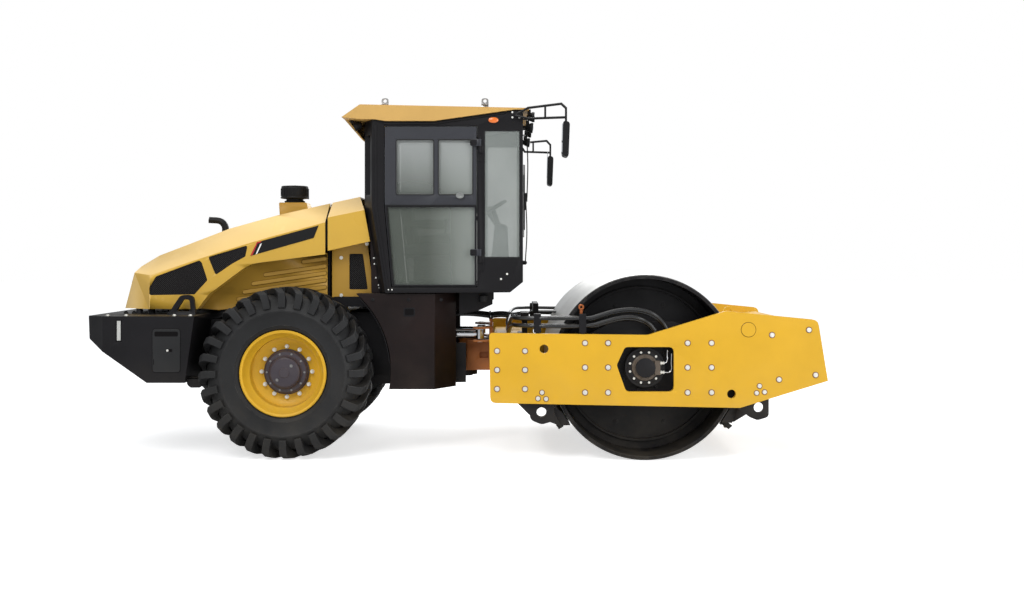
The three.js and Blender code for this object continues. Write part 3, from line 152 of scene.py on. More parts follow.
def edge_wear():
    """Where paint has rubbed off: a broken line along the edges."""
    w, given, out = effect("edge_wear", {"Radius": 0.006, "Scale": 18.0, "Amount": 0.5}, ["Mask"])
    rounded = w.node("ShaderNodeBevel", {"Radius": given["Radius"]}, samples=4).outputs["Normal"]
    flat = w.node("ShaderNodeNewGeometry").outputs["Normal"]
    likeness = w.node("ShaderNodeVectorMath", {0: rounded, 1: flat}, operation="DOT_PRODUCT").outputs["Value"]
    edge = w.fade(likeness, 0.995, 0.85)
    patchy = w.fade(w.noise(w.place(), given["Scale"], 5.0, 0.65), 0.45, 0.65)
    w.feed(out["Mask"], w.maths("MULTIPLY", w.maths("MULTIPLY", edge, patchy), given["Amount"], True))
    return w.tree


def dust_and_sheen():
    """Fine dirt on faces that look up, and thicker near the ground. With a colour lighter than the paint, as
    on the hood, the part on faces that look up is a painted highlight.
    """
    w, given, out = effect("dust_and_sheen", {"Top": 0.3, "Low": 0.3, "Reach": 0.9, "Even": 0.0}, ["Mask"])
    up = w.node("ShaderNodeSeparateXYZ", {0: w.node("ShaderNodeNewGeometry").outputs["Normal"]}).outputs["Z"]
    height = w.node("ShaderNodeSeparateXYZ", {0: w.place()}).outputs["Z"]
    on_top = w.maths("MULTIPLY", w.fade(up, 0.3, 1.0), given["Top"])
    splash = w.maths("MULTIPLY", w.fade(height, given["Reach"], 0.0), given["Low"])
    cloud = w.fade(w.noise(w.place(), 3.5, 6.0, 0.62), 0.34, 0.66)
    spread = w.maths("MAXIMUM", cloud, given["Even"])
    w.feed(out["Mask"], w.maths("MULTIPLY", w.maths("ADD", on_top, splash), spread, True))
    return w.tree


def grain():
    """A fine surface height, and a broad tone that drifts over a piece."""
    w, given, out = effect("grain", {"Scale": 220.0, "Stretch": (1.0, 1.0, 1.0)}, ["Height", "Tone"])
    vector = w.stretched(w.place(), given["Stretch"])
    w.feed(out["Height"], w.noise(vector, given["Scale"], 4.0, 0.6))
    w.feed(out["Tone"], w.noise(w.place(), 1.7, 4.0, 0.55))
    return w.tree


EFFECTS = {"edge_wear": edge_wear(), "dust_and_sheen": dust_and_sheen(), "grain": grain()}


def material(name, rgb, roughness, bump=0.0003, drift=0.12, metal=0.0, coat=0.0, worn=None, wear=0.5,
             top=0.16, low=0.25, scale=220.0, stretch=(1, 1, 1), uneven=0.1, shine=0.5, alpha=1.0,
             dust_and_sheen_colour=(150, 138, 116), even=0.0, painted_light_fades=()):
    """One material: a base colour with drift, wear on its edges, dust and a fine surface grain. Where the
    dust colour is lighter than the paint, as on the hood, it is a painted highlight on faces that look up;
    the fades are painted gradients of light and shade.
    """
    made = bpy.data.materials.new(name)
    made.use_nodes = True
    w = Wiring(made.node_tree)
    shader = made.node_tree.nodes["Principled BSDF"]

    def placed(label, **inputs):
        return w.node("ShaderNodeGroup", inputs, node_tree=EFFECTS[label]).outputs

    fine = placed("grain", Scale=scale, Stretch=stretch)
    base = linear(*rgb)
    darker = tuple(channel * (1 - drift) for channel in base[:3]) + (1.0,)
    lighter = tuple(min(1.0, channel * (1 + drift)) for channel in base[:3]) + (1.0,)
    paint = w.mix(w.fade(fine["Tone"], 0.35, 0.65), darker, lighter)
    rough = w.fade(fine["Tone"], 0.3, 0.7, roughness + uneven, max(0.03, roughness - uneven))
    # Painted gradients of light and shade along one axis, used on glass.
    for axis, start, end, colour in painted_light_fades:
        along = w.node("ShaderNodeSeparateXYZ", {0: w.place()}).outputs[axis]
        paint = w.mix(w.fade(along, start, end), paint, linear(*colour))
    if worn:
        rubbed = placed("edge_wear", Amount=wear)["Mask"]
        paint = w.mix(rubbed, paint, linear(*worn))
        rough = w.maths("ADD", rough, w.maths("MULTIPLY", rubbed, 0.15))
    if top or low:
        # Dust on faces that look up and near the ground; on the hood this is a painted highlight.
        dust_and_sheen_mask = placed("dust_and_sheen", Top=top, Low=low, Even=even)["Mask"]
        paint = w.mix(dust_and_sheen_mask, paint, linear(*dust_and_sheen_colour))
        rough = w.maths("ADD", rough, w.maths("MULTIPLY", dust_and_sheen_mask, 0.35), True)
    w.feed(shader.inputs["Base Color"], paint)
    w.feed(shader.inputs["Roughness"], rough)
    for label, value in (("Metallic", metal), ("Specular IOR Level", shine), ("Coat Weight", coat),
                         ("Coat Roughness", 0.12), ("Alpha", alpha)):
        shader.inputs[label].default_value = value
    height = w.node("ShaderNodeBump", {"Height": fine["Height"], "Distance": bump, "Strength": 0.6})
    w.feed(shader.inputs["Normal"], height.outputs["Normal"])
    return made


SHADE = {
    "yellow_paint": material("yellow_paint", (215, 166, 38), 0.38, coat=0.05, shine=0.25, worn=(150, 118, 62),
                             wear=0.35,
                             top=0.1, low=0.22, drift=0.05),
    # The hood's cream dust colour, spread over nearly all its upward faces, is a painted highlight of the
    # light on its crown.
    "hood_paint": material("hood_paint", (201, 160, 62), 0.32, coat=0.15, shine=0.3, worn=(160, 130, 74),
                           wear=0.25,
                           top=0.8, low=0.0, drift=0.04, dust_and_sheen_colour=(248, 216, 156), even=0.85),
    # A darker copy of the hood paint: painted shade of the recessed panels and their ribs under the hood's
    # lip.
    "shaded_panel_paint": material("shaded_panel_paint", (166, 128, 50), 0.42, shine=0.3, worn=(120, 96, 52), wear=0.3,
                            top=0.1, low=0.1, drift=0.08),
    "black_paint": material("black_paint", (24, 23, 25), 0.44, worn=(70, 69, 68), wear=0.3, drift=0.25,
                            shine=0.16, top=0.1, low=0.12),
    "grey_paint": material("grey_paint", (52, 53, 58), 0.42, worn=(92, 92, 94), wear=0.25, drift=0.1,
                           shine=0.25, top=0.08, low=0.0),
    "ochre_paint": material("ochre_paint", (176, 104, 46), 0.5, worn=(96, 72, 50), wear=0.6, drift=0.22,
                            uneven=0.15),
    "drum_steel": material("drum_steel", (206, 205, 202), 0.4, metal=0.75, bump=0.0005, scale=60.0,
                           stretch=(0.15, 6, 0.15), top=0.06, low=0.12, drift=0.06),
    "rim_steel": material("rim_steel", (150, 148, 146), 0.34, metal=0.85, scale=90.0, top=0.1, low=0.2,
                          drift=0.15),
    "drum_black": material("drum_black", (24, 23, 25), 0.5, worn=(100, 95, 90), wear=0.4, drift=0.25, low=0.1,
                           top=0.08, shine=0.2),
    "chrome": material("chrome", (214, 214, 216), 0.1, metal=1.0, bump=0.0, top=0.0, low=0.0, uneven=0.03,
                       drift=0.03),
    "bolt_steel": material("bolt_steel", (226, 224, 216), 0.34, metal=0.55, drift=0.08, top=0.03, low=0.04),
    "rust_ring": material("rust_ring", (128, 82, 44), 0.65, drift=0.25),
    "tyre_rubber": material("tyre_rubber", (25, 25, 26), 0.6, bump=0.0012, scale=70.0, drift=0.2, top=0.04,
                            low=0.07,
                            shine=0.35, worn=(112, 110, 107), wear=0.6),
    "rubber": material("rubber", (24, 24, 25), 0.5, bump=0.0006, drift=0.15, top=0.1, low=0.12, shine=0.25),
    "hose_black": material("hose_black", (22, 22, 23), 0.28, coat=0.3, bump=0.0004, scale=160.0, drift=0.1,
                           top=0.1),
    "hub_paint": material("hub_paint", (58, 50, 58), 0.45, worn=(110, 100, 98), drift=0.2, low=0.35),
    "engine_grey": material("engine_grey", (58, 58, 60), 0.6, scale=60.0, bump=0.001, drift=0.2),
    "motor_brown": material("motor_brown", (84, 72, 60), 0.5, worn=(150, 142, 130), scale=80.0, bump=0.0008,
                            drift=0.2),
    "copper": material("copper", (184, 108, 66), 0.3, metal=1.0, drift=0.1),
    "black_plastic": material("black_plastic", (20, 20, 21), 0.46, bump=0.0005, scale=300.0, drift=0.1,
                              top=0.08, low=0.0, shine=0.2),
    "seat_fabric": material("seat_fabric", (58, 60, 62), 0.85, bump=0.0015, scale=420.0, drift=0.14, top=0.1,
                            low=0.0),
    "interior": material("interior", (104, 108, 106), 0.6, drift=0.1, low=0.0),
    # Near-black; in the holes, behind the cowl's wire and inside the tanks' handholds it is painted shade.
    "mesh_black_and_shade": material("mesh_black_and_shade", (14, 12, 13), 0.6, drift=0.1, top=0.0, low=0.0, shine=0.08),
    "reflector_white": material("reflector_white", (232, 232, 226), 0.25, coat=0.4, drift=0.03, top=0.05,
                                low=0.05),
    "marker_orange": material("marker_orange", (226, 112, 30), 0.25, coat=0.5, drift=0.05, top=0.05, low=0.0),
    "marker_red": material("marker_red", (176, 34, 30), 0.25, coat=0.5, drift=0.05, top=0.05, low=0.0),
    "lamp_glass": material("lamp_glass", (206, 210, 212), 0.12, coat=0.6, drift=0.04, top=0.05, low=0.0),
    "mirror_glass": material("mirror_glass", (196, 200, 204), 0.04, metal=1.0, bump=0.0, top=0.0, low=0.0,
                             uneven=0.01),
    "tinted_glass": material("tinted_glass", (150, 156, 152), 0.06, coat=0.4, bump=0.0, top=0.0, low=0.0,
                             uneven=0.02, alpha=0.45),
    # The door glass is painted lighter towards the front and towards the top: a painted reflection over the
    # tint.
    "door_tint_and_reflection": material("door_tint_and_reflection", (90, 96, 88), 0.06, coat=0.4, bump=0.0, top=0.0, low=0.0, uneven=0.02,
                          drift=0.1,
                          alpha=0.66,
                          painted_light_fades=(("X", -0.25, 0.20, (150, 156, 150)), ("Z", 2.25, 2.85, (178, 182, 180)))),
    # The rear glass is painted darker below 2.30 m and lighter above 2.50 m: painted shade and reflection.
    "corner_glass": material("corner_glass", (176, 182, 180), 0.06, coat=0.4, bump=0.0, top=0.0, low=0.0,
                             uneven=0.02,
                             drift=0.1, alpha=0.8, painted_light_fades=(("Z", 2.50, 2.30, (120, 124, 120)),)),
    "handle_grey": material("handle_grey", (118, 120, 118), 0.4, drift=0.08, top=0.0, low=0.0),
    "tank_paint": material("tank_paint", (27, 18, 17), 0.42, worn=(84, 62, 54), wear=0.3, drift=0.4,
                           shine=0.18,
                           top=0.08, low=0.1),
    "wire_grey": material("wire_grey", (46, 44, 44), 0.5, drift=0.1, top=0.0, low=0.0, shine=0.2),
    "tan_paint": material("tan_paint", (196, 156, 88), 0.42, shine=0.25, worn=(150, 130, 100), wear=0.2,
                          top=0.1, low=0.0,
                          drift=0.06),
    "rib_shadow": material("rib_shadow", (104, 78, 28), 0.6, drift=0.1, top=0.0, low=0.0, shine=0.1),
    "sticker_grey": material("sticker_grey", (176, 176, 172), 0.35, drift=0.15, top=0.0, low=0.0),
    "panel_black": material("panel_black", (34, 34, 35), 0.4, worn=(84, 84, 84), wear=0.3, drift=0.2,
                            shine=0.25, top=0.1,
                            low=0.1),
    "pale_grey": material("pale_grey", (176, 180, 178), 0.5, drift=0.05, top=0.0, low=0.0),
}


# ---- mesh making, always from bmesh operators ----
def shown(bm, name, body, shade, smooth=35.0, bevel=0.0, recalculate=True, stands_for=()):
    """Turns a bmesh into a piece that rides on a body, with rounded edges and smooth curves."""
    bmesh.ops.remove_doubles(bm, verts=bm.verts, dist=MERGE_WITHIN)
    if recalculate:
        bmesh.ops.recalc_face_normals(bm, faces=bm.faces)
    mesh = bpy.data.meshes.new(name)
    bm.to_mesh(mesh)
    bm.free()
    mesh.shade_smooth()
    mesh.set_sharp_from_angle(angle=math.radians(smooth))
    mesh.materials.append(SHADE[shade])
    made = bpy.data.objects.new(name, mesh)
    scene.collection.objects.link(made)
    if bevel:
        rounding = made.modifiers.new("rounding", "BEVEL")
        rounding.width = bevel
        rounding.segments = 2
        rounding.limit_method = "ANGLE"
        rounding.angle_limit = math.radians(smooth)
        rounding.miter_outer = "MITER_ARC"
    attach(made, body)
    if stands_for:
        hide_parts(*stands_for)
    return made


BODY_OF = {node: body for body, members in frame["record"]["behaviour"]["bodies"].items() for node in members}


def refined(node, shade, bevel, smooth=33.0):
    """A merged copy of a CAD node, with the same faces, rounded edges and smooth curves."""
    bm = bmesh.new()
    bm.from_mesh(nodes[node].data)
    bmesh.ops.remove_doubles(bm, verts=bm.verts, dist=MERGE_WITHIN)
    bmesh.ops.join_triangles(bm, faces=bm.faces, angle_face_threshold=math.radians(0.5),
                             angle_shape_threshold=math.pi)
    return shown(bm, node + "_skin", BODY_OF[node], shade, smooth, bevel, False, [node])


def block(bm, low, high, turn=None):
    """A box between two corners, turned about its middle by a rotation matrix if one is given."""
    low, high = Vector(low), Vector(high)
    size = high - low
    fit = Matrix.Translation((low + high) / 2) @ (turn or Matrix.Identity(4)) @ Matrix.Diagonal((*size, 1))
    return bmesh.ops.create_cube(bm, size=1, matrix=fit)["verts"]


def rod(bm, start, end, radius, sides=24):
    """A capped round bar between two points."""
    start, end = Vector(start), Vector(end)
    along = end - start
    fit = Matrix.Translation((start + end) / 2) @ along.to_track_quat("Z", "Y").to_matrix().to_4x4()
    bmesh.ops.create_cone(bm, cap_ends=True, segments=sides, radius1=radius, radius2=radius,
                          depth=along.length, matrix=fit)


def sheet_of(bm, points, push):
    """A flat outline, in order, pushed out by a vector into a closed plate."""
    face = bm.faces.new([bm.verts.new(point) for point in points])
    thickened(bm, [face], push)


def side_plate_of(bm, outline, y, thickness):
    """A plate that stands in the X-Z plane at y, and grows by thickness along Y."""
    sheet_of(bm, [(x, y, z) for x, z in outline], (0, thickness, 0))


def spun(bm, profile, centre, steps=64, axis=(0, 1, 0), out=(0, 0, 1)):
    """A closed ring or disc: profile points are (radius, along the axis) from the centre."""
    centre, axis, out = Vector(centre), Vector(axis), Vector(out)
    verts = [bm.verts.new(centre + out * radius + axis * along) for radius, along in profile]
    edges = [bm.edges.new(pair) for pair in zip(verts, verts[1:])]
    bmesh.ops.spin(bm, geom=verts + edges, cent=centre, axis=axis, angle=FULL_TURN,
                   steps=steps, use_merge=True, use_duplicate=False)


def bolt(bm, at, normal, size=0.016, washer=True):
    """A hexagon head on a washer, both seated on the face at that point."""
    at, normal = Vector(at), Vector(normal)
    if washer:
        rod(bm, at - normal * 0.001, at + normal * size * 0.18, size * 1.22, 16)
    rod(bm, at, at + normal * size * 0.8, size, 6)
    rod(bm, at + normal * size * 0.7, at + normal * size * 0.95, size * 0.55, 10)


UPWARDS = {"axis": (0, 0, 1), "out": (1, 0, 0)}


def facing(side, profile):
    """A profile of (radius, outwards) points as (radius, along Y) on one side of the machine."""
    return [(radius, side * out) for radius, out in profile]


def around(centre, out, radius, count, first=0.0):
    """Points evenly spaced in a circle round the Y axis, a distance out from the centre along Y."""
    turns = [Matrix.Rotation((step + first) * FULL_TURN / count, 4, "Y") for step in range(count)]
    return [centre + turn @ Vector((0, out, radius)) for turn in turns]


def outer_face(node, side):
    """How far a node reaches from the middle plane, on one side."""
    low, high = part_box(node)
    return high.y if side > 0 else -low.y


def side_block(bm, side, low, high):
    """A box on one side of the machine, its Y limits given as distances from the middle plane."""
    near, far = sorted((side * low[1], side * high[1]))
    return block(bm, (low[0], near, low[2]), (high[0], far, high[2]))


def bolts_on(bm, places, y, side, size, washer=False):
    """Bolts at (x, z) places on a face that stands at a distance y from the middle plane."""
    for x, z in places:
        bolt(bm, (x, side * y, z), (0, side, 0), size, washer)


def plate(name, body, shade, outline, y, thickness, bevel=0.0):
    """A flat piece in the X-Z plane at y."""
    bm = bmesh.new()
    side_plate_of(bm, outline, y, thickness)
    return shown(bm, name, body, shade, 30, bevel)


def disc(name, body, shade, slot, profile, centre, steps, smooth=30, bevel=0.0, stands_for=(), **axes):
    """A turned piece about the Y axis, or the one given: profile points are (radius, along the axis)."""
    bm = bmesh.new()
    spun(bm, profile, centre, steps, **axes)
    return shown(bm, name, body, shade, smooth, bevel, stands_for=stands_for)


def oval(bm, centre, along_x, along_z=1.0):
    """Stretches what is round about the centre into an oval."""
    for vert in bm.verts:
        vert.co.x = centre.x + (vert.co.x - centre.x) * along_x
        vert.co.z = centre.z + (vert.co.z - centre.z) * along_z


def tube(name, points, radius, body, shade, resolution=4, stands_for=()):
    """A round pipe or hose along points, as a mesh with closed ends."""
    line = bpy.data.curves.new(name, "CURVE")
    line.dimensions = "3D"
    line.bevel_depth = radius
    line.bevel_resolution = resolution
    line.use_fill_caps = True
    line.resolution_u = 6
    path = line.splines.new("BEZIER")
    path.bezier_points.add(len(points) - 1)
    for knot, point in zip(path.bezier_points, points):
        knot.co = point
        knot.handle_left_type = knot.handle_right_type = "AUTO"
    holder = bpy.data.objects.new(name + "_line", line)
    scene.collection.objects.link(holder)
    drawn = holder.evaluated_get(bpy.context.evaluated_depsgraph_get())
    bm = bmesh.new()
    bm.from_mesh(bpy.data.meshes.new_from_object(drawn))
    bpy.data.objects.remove(holder)
    return shown(bm, name, body, shade, 40, stands_for=stands_for)


def thickened(bm, faces, push):
    """Faces pushed out by a vector into a closed plate."""
    pushed = bmesh.ops.extrude_face_region(bm, geom=faces, use_keep_orig=True)["geom"]
    moved = [item for item in pushed if isinstance(item, bmesh.types.BMVert)]
    bmesh.ops.translate(bm, vec=Vector(push), verts=moved)


def poured_into(bm, part, turns=(Matrix.Identity(4),)):
    """Adds a small bmesh to a larger one, once for each turn, and frees it."""
    for turn in turns:
        copy = bpy.data.meshes.new("copy")
        part.to_mesh(copy)
        copy.transform(turn)
        bm.from_mesh(copy)
        bpy.data.meshes.remove(copy)
    part.free()


def laid_on(bm, outline, target, side, lift, thickness, step=0.04):
    """A thin plate in the X-Z plane that follows the surface of target, seen from outside on one side."""
    sheet = bmesh.new()
    sheet.faces.new([sheet.verts.new((x, side * OUTSIDE, z)) for x, z in outline])
    for axis in (0, 2):
        low = min(vert.co[axis] for vert in sheet.verts)
        high = max(vert.co[axis] for vert in sheet.verts)
        for cut in range(1, int((high - low) / step) + 1):
            normal, point = Vector((0, 0, 0)), Vector((0, 0, 0))
            normal[axis], point[axis] = 1, low + cut * step
            everything = [*sheet.verts, *sheet.edges, *sheet.faces]
            bmesh.ops.bisect_plane(sheet, geom=everything, plane_co=point, plane_no=normal)
    for vert in sheet.verts:
        where = target.met(side, vert.co.x, vert.co.z)
        vert.co.y = (side * HOOD_HALF if where is None else where.y) + side * lift
    thickened(sheet, sheet.faces[:], (0, side * thickness, 0))
    poured_into(bm, sheet)


def stadium(start, end, radius, steps=6):
    """An outline with two round ends, between two points in the X-Z plane."""
    (x0, z0), (x1, z1) = start, end
    lean = math.atan2(z1 - z0, x1 - x0)
    outline = []
    for x, z, first in ((x1, z1, lean - math.pi / 2), (x0, z0, lean + math.pi / 2)):
        for step in range(steps + 1):
            turn = first + math.pi * step / steps
            outline.append((x + radius * math.cos(turn), z + radius * math.sin(turn)))
    return outline


def rounded(corners, radius, steps=4):
    """An outline with each corner turned into an arc of about that radius."""
    result = []
    count = len(corners)
    for index, corner in enumerate(corners):
        here = Vector(corner)
        before, after = Vector(corners[index - 1]), Vector(corners[(index + 1) % count])
        first = here + (before - here).normalized() * radius
        last = here + (after - here).normalized() * radius
        for step in range(steps + 1):
            share = step / steps
            point = first * (1 - share) ** 2 + here * 2 * share * (1 - share) + last * share ** 2
            result.append((point.x, point.y))
    return result


def ring_plate(bm, outer, inner, y, thickness):
    """A flat frame in the X-Z plane between two outlines with equally many corners."""
    verts = {}

    def vert(point, level):
        key = (round(point[0], 6), round(point[1], 6), level)
        if key not in verts:
            verts[key] = bm.verts.new((point[0], y + level * thickness, point[1]))
        return verts[key]

    for index, (a, d) in enumerate(zip(outer, inner)):
        follow = (index + 1) % len(outer)
        b, c = outer[follow], inner[follow]
        bm.faces.new([vert(p, 0) for p in (a, b, c, d)])
        bm.faces.new([vert(p, 1) for p in (d, c, b, a)])
        bm.faces.new([vert(a, 0), vert(a, 1), vert(b, 1), vert(b, 0)])
        bm.faces.new([vert(d, 0), vert(c, 0), vert(c, 1), vert(d, 1)])


def grown(low_x, low_z, high_x, high_z, margin, radius):
    """A round-cornered outline, larger than a rectangle by a margin."""
    corners = [(low_x - margin, low_z - margin), (high_x + margin, low_z - margin),
               (high_x + margin, high_z + margin), (low_x - margin, high_z + margin)]
    return rounded(corners, radius + margin)


# ---- CAD nodes with rounded edges ----
SKINS = {
    "hood": ("hood_paint", 0.006), "cowl": ("hood_paint", 0.005), "roof": ("yellow_paint", 0.007),
    "counterweight": ("black_paint", 0.010), "side_plate_right": ("yellow_paint", 0.004),
    "side_plate_left": ("yellow_paint", 0.004), "rear_beam": ("yellow_paint", 0.004),
    "front_beam": ("yellow_paint", 0.006), "drum_mount_right": ("drum_black", 0.003),
    "drum_mount_left": ("drum_black", 0.003), "scraper_rear": ("drum_black", 0.0),
    "scraper_front": ("drum_black", 0.0), "yoke": ("ochre_paint", 0.004),
    "rear_frame": ("black_paint", 0.004),
    "rear_axle": ("black_paint", 0.004), "tank_right": ("tank_paint", 0.006),
    "tank_left": ("tank_paint", 0.006),
    "engine": ("engine_grey", 0.012), "cab_floor": ("black_paint", 0.003),
    "cab_side_right": ("black_paint", 0.004),
    "cab_side_left": ("black_paint", 0.004), "cab_rear": ("black_paint", 0.004),
    "cab_front": ("black_paint", 0.004),
    "door_right": ("grey_paint", 0.003), "door_left": ("grey_paint", 0.003),
    "steer_barrel_right": ("black_paint", 0.002),
    "steer_barrel_left": ("black_paint", 0.002), "steer_rod_right": ("chrome", 0.001),
    "steer_rod_left": ("chrome", 0.001),
    "precleaner": ("black_plastic", 0.004), "exhaust_elbow": ("black_paint", 0.001),
    "mirror_right": ("black_plastic", 0.003), "mirror_left": ("black_plastic", 0.003),
    "steering_column": ("black_plastic", 0.002),
    "hood_grille_right": ("mesh_black_and_shade", 0.0), "hood_grille_left": ("mesh_black_and_shade", 0.0),
}
skins = {node: refined(node, shade, bevel) for node, (shade, bevel) in SKINS.items()}
skins["roof"].data.materials[0] = SHADE["tan_paint"]

# The sides of the engine bay, inside the line of the hood, have a duller coat in a darker colour: the darker
# colour is painted shade of the recess under the hood's lip.
BAY_SIDE = 0.556
for node in ("hood", "cowl"):
    body = skins[node].data
    body.materials.append(SHADE["shaded_panel_paint"])
    for face in body.polygons:
        if abs(face.center.y) < BAY_SIDE and abs(face.normal.y) > 0.9:
            face.material_index = 1

# The door and rear glass carry painted reflection and shade over their tint.
GLASS_TINTS_AND_REFLECTIONS = {"door": "door_tint_and_reflection", "rear": "corner_glass"}
for node in ("windshield", "rear_window", "quarter_glass_right", "quarter_glass_left",
             "door_glass_right", "door_glass_left"):
    nodes[node].data.materials.clear()
    nodes[node].data.materials.append(SHADE[GLASS_TINTS_AND_REFLECTIONS.get(node[:4], "tinted_glass")])

# ---- tyres ----
TYRE_RADIUS = (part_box("tyre_right")[1].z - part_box("tyre_right")[0].z) / 2
TYRE_HALF = (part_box("tyre_right")[1].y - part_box("tyre_right")[0].y) / 2
LUGS = 28
LUG_TOP = ((0.005, 0.744), (0.090, 0.744), (0.170, 0.742), (0.222, 0.732), (0.252, 0.704), (0.262, 0.650),
           (0.2645, 0.575))
LUG_FOOT = ((0.005, 0.690), (0.090, 0.690), (0.140, 0.686), (0.168, 0.670), (0.186, 0.640), (0.210, 0.600),
            (0.240, 0.565))


def lug_place(share, height):
    """Where a lug's centre line runs: (from the middle plane, radius, turn) for a share of its way out."""
    stations = len(LUG_TOP) - 1
    index = round(share * stations)
    foot, top = LUG_FOOT[index], LUG_TOP[index]
    out, radius = (foot[n] + (top[n] - foot[n]) * height for n in (0, 1))
    return out, radius, math.radians(2.0 + 14.0 * min(share, 0.7) ** 0.8)


def tyre_lug(side):
    """One tread bar that sweeps back from the middle to the shoulder, as a warped block of its own."""
    bm = bmesh.new()
    bmesh.ops.create_cube(bm, size=1)
    along = [edge for edge in bm.edges if abs(edge.verts[0].co.y - edge.verts[1].co.y) > 0.5]
    bmesh.ops.subdivide_edges(bm, edges=along, cuts=len(LUG_TOP) - 2, use_grid_fill=True)
    for vert in bm.verts:
        share, height = vert.co.y + 0.5, vert.co.z + 0.5
        out, radius, turn = lug_place(share, height)
        half_width = (0.026 + 0.012 * share) * (1.25 - 0.25 * height)
        swing = turn + vert.co.x * 2 * half_width / TYRE_RADIUS
        vert.co = (radius * math.sin(swing), side * out, radius * math.cos(swing))
    return bm


def tyre(node, wheel, side):
    """The tread bars, the carcass with its bead and wall, and the wear marks of one tyre."""
    centre = middle(node)
    bm = bmesh.new()
    for hand, start in ((-1, 0.0), (1, 0.5)):
        turns = [Matrix.Rotation((start + step) * FULL_TURN / LUGS, 4, "Y") for step in range(LUGS)]
        poured_into(bm, tyre_lug(hand), turns)
    bmesh.ops.translate(bm, vec=centre, verts=bm.verts)
    shown(bm, node + "_lugs", wheel, "tyre_rubber", 30, 0.004)
    half = TYRE_HALF
    wall = [(0.376, -0.205), (0.392, -0.228), (0.412, -0.237), (0.418, -0.243), (0.430, -0.242),
            (0.470, -half + 0.012), (0.530, -half + 0.004), (0.536, -half), (0.546, -half),
            (0.552, -half + 0.004),
            (0.576, -half + 0.014), (0.600, -half + 0.034), (0.630, -half + 0.064), (0.662, -half + 0.092),
            (0.680, -half + 0.130)]
    profile = wall + [(0.692, 0.0)] + [(radius, -along) for radius, along in reversed(wall)] + [wall[0]]
    disc(node + "_carcass", wheel, "tyre_rubber", "tyre_rubber", profile, centre, 112, 28, stands_for=[node])
    bm = bmesh.new()
    inset = Vector((0, side * 0.004, 0))
    for where in around(centre, side * (half - 0.004), 0.578, 6):
        rod(bm, where - inset, where + inset, 0.008, 12)
    shown(bm, node + "_wear_marks", wheel, "rubber", 30)


# ---- wheels ----
def wheel(node, body, side):
    """Rim, disc, nuts and planetary hub: profiles are (radius, outwards from the middle of the tyre)."""
    centre = Vector((middle(node).x, middle("tyre" + node[5:]).y, middle(node).z))
    outward = Vector((0, side, 0))
    for name, shade, stands_for, profile in (
        ("rim", "yellow_paint", (), (
            (0.344, 0.205), (0.352, 0.222), (0.368, 0.228), (0.376, 0.222), (0.375, 0.206), (0.366, 0.196),
            (0.362, 0.170), (0.330, 0.140), (0.326, -0.140), (0.362, -0.170), (0.366, -0.196),
            (0.375, -0.206),
            (0.376, -0.222), (0.368, -0.228), (0.352, -0.222), (0.344, -0.205), (0.338, -0.176),
            (0.306, -0.140),
            (0.302, -0.020), (0.302, 0.060), (0.306, 0.140), (0.338, 0.176), (0.344, 0.205))),
        ("lock_ring", "rim_steel", (), (
            (0.346, 0.209), (0.352, 0.214), (0.352, 0.204), (0.346, 0.199), (0.346, 0.209))),
        ("disc", "yellow_paint", (), (
            (0.150, 0.010), (0.150, 0.032), (0.238, 0.032), (0.262, 0.044), (0.288, 0.056), (0.3018, 0.058),
            (0.3018, 0.036), (0.290, 0.034), (0.266, 0.022), (0.240, 0.010), (0.150, 0.010))),
        ("hub", "hub_paint", [node], (
            (0.0, 0.172), (0.040, 0.172), (0.046, 0.166), (0.118, 0.160), (0.132, 0.150), (0.138, 0.112),
            (0.150, 0.100), (0.176, 0.096), (0.186, 0.086), (0.190, 0.060), (0.199, 0.054), (0.199, 0.0325),
            (0.1495, 0.0325), (0.1495, -0.270), (0.0, -0.270))),
    ):
        disc(f"{node}_{name}", body, shade, "yellow_paint", facing(side, profile), centre, 96,
             stands_for=stands_for)
    nuts, plugs = bmesh.new(), bmesh.new()
    for at in around(centre, side * 0.032, 0.222, 12):
        for start, end, radius, sides in ((0.0, 0.006, 0.019, 16), (0.006, 0.026, 0.016, 6),
                                          (0.026, 0.042, 0.0085, 12)):
            rod(nuts, at + outward * start, at + outward * end, radius, sides)
    for out, radius, count, first, size in ((0.096, 0.163, 10, 0.5, 0.0085), (0.161, 0.085, 2, 0.25, 0.012)):
        for at in around(centre, side * out, radius, count, first):
            bolt(plugs, at, outward, size)
    shown(nuts, node + "_nuts", body, "bolt_steel", 30)
    shown(plugs, node + "_hub_bolts", body, "rim_steel", 30)
    valve = centre + Vector((0.318 * math.sin(0.6), side * 0.060, 0.318 * math.cos(0.6)))
    points = [valve + Vector((x, side * y, z)) for x, y,
              z in ((0, 0, 0), (0.004, 0.04, 0), (0.012, 0.10, 0.006))]
    tube(node + "_valve", points, 0.005, body, "chrome", 2)


for hand, side in SIDES:
    tyre("tyre_" + hand, "wheel_" + hand, side)
    wheel("wheel_" + hand, "wheel_" + hand, side)

# ---- drum ----
DRUM_LOW, DRUM_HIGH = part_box("drum_shell")
DRUM_RADIUS = (DRUM_HIGH.z - DRUM_LOW.z) / 2
DRUM_END = DRUM_HIGH.y
DRUM_CENTRE = middle("drum_shell")
HEAD_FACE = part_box("drum_core")[1].y
DRUM_STEPS = 144


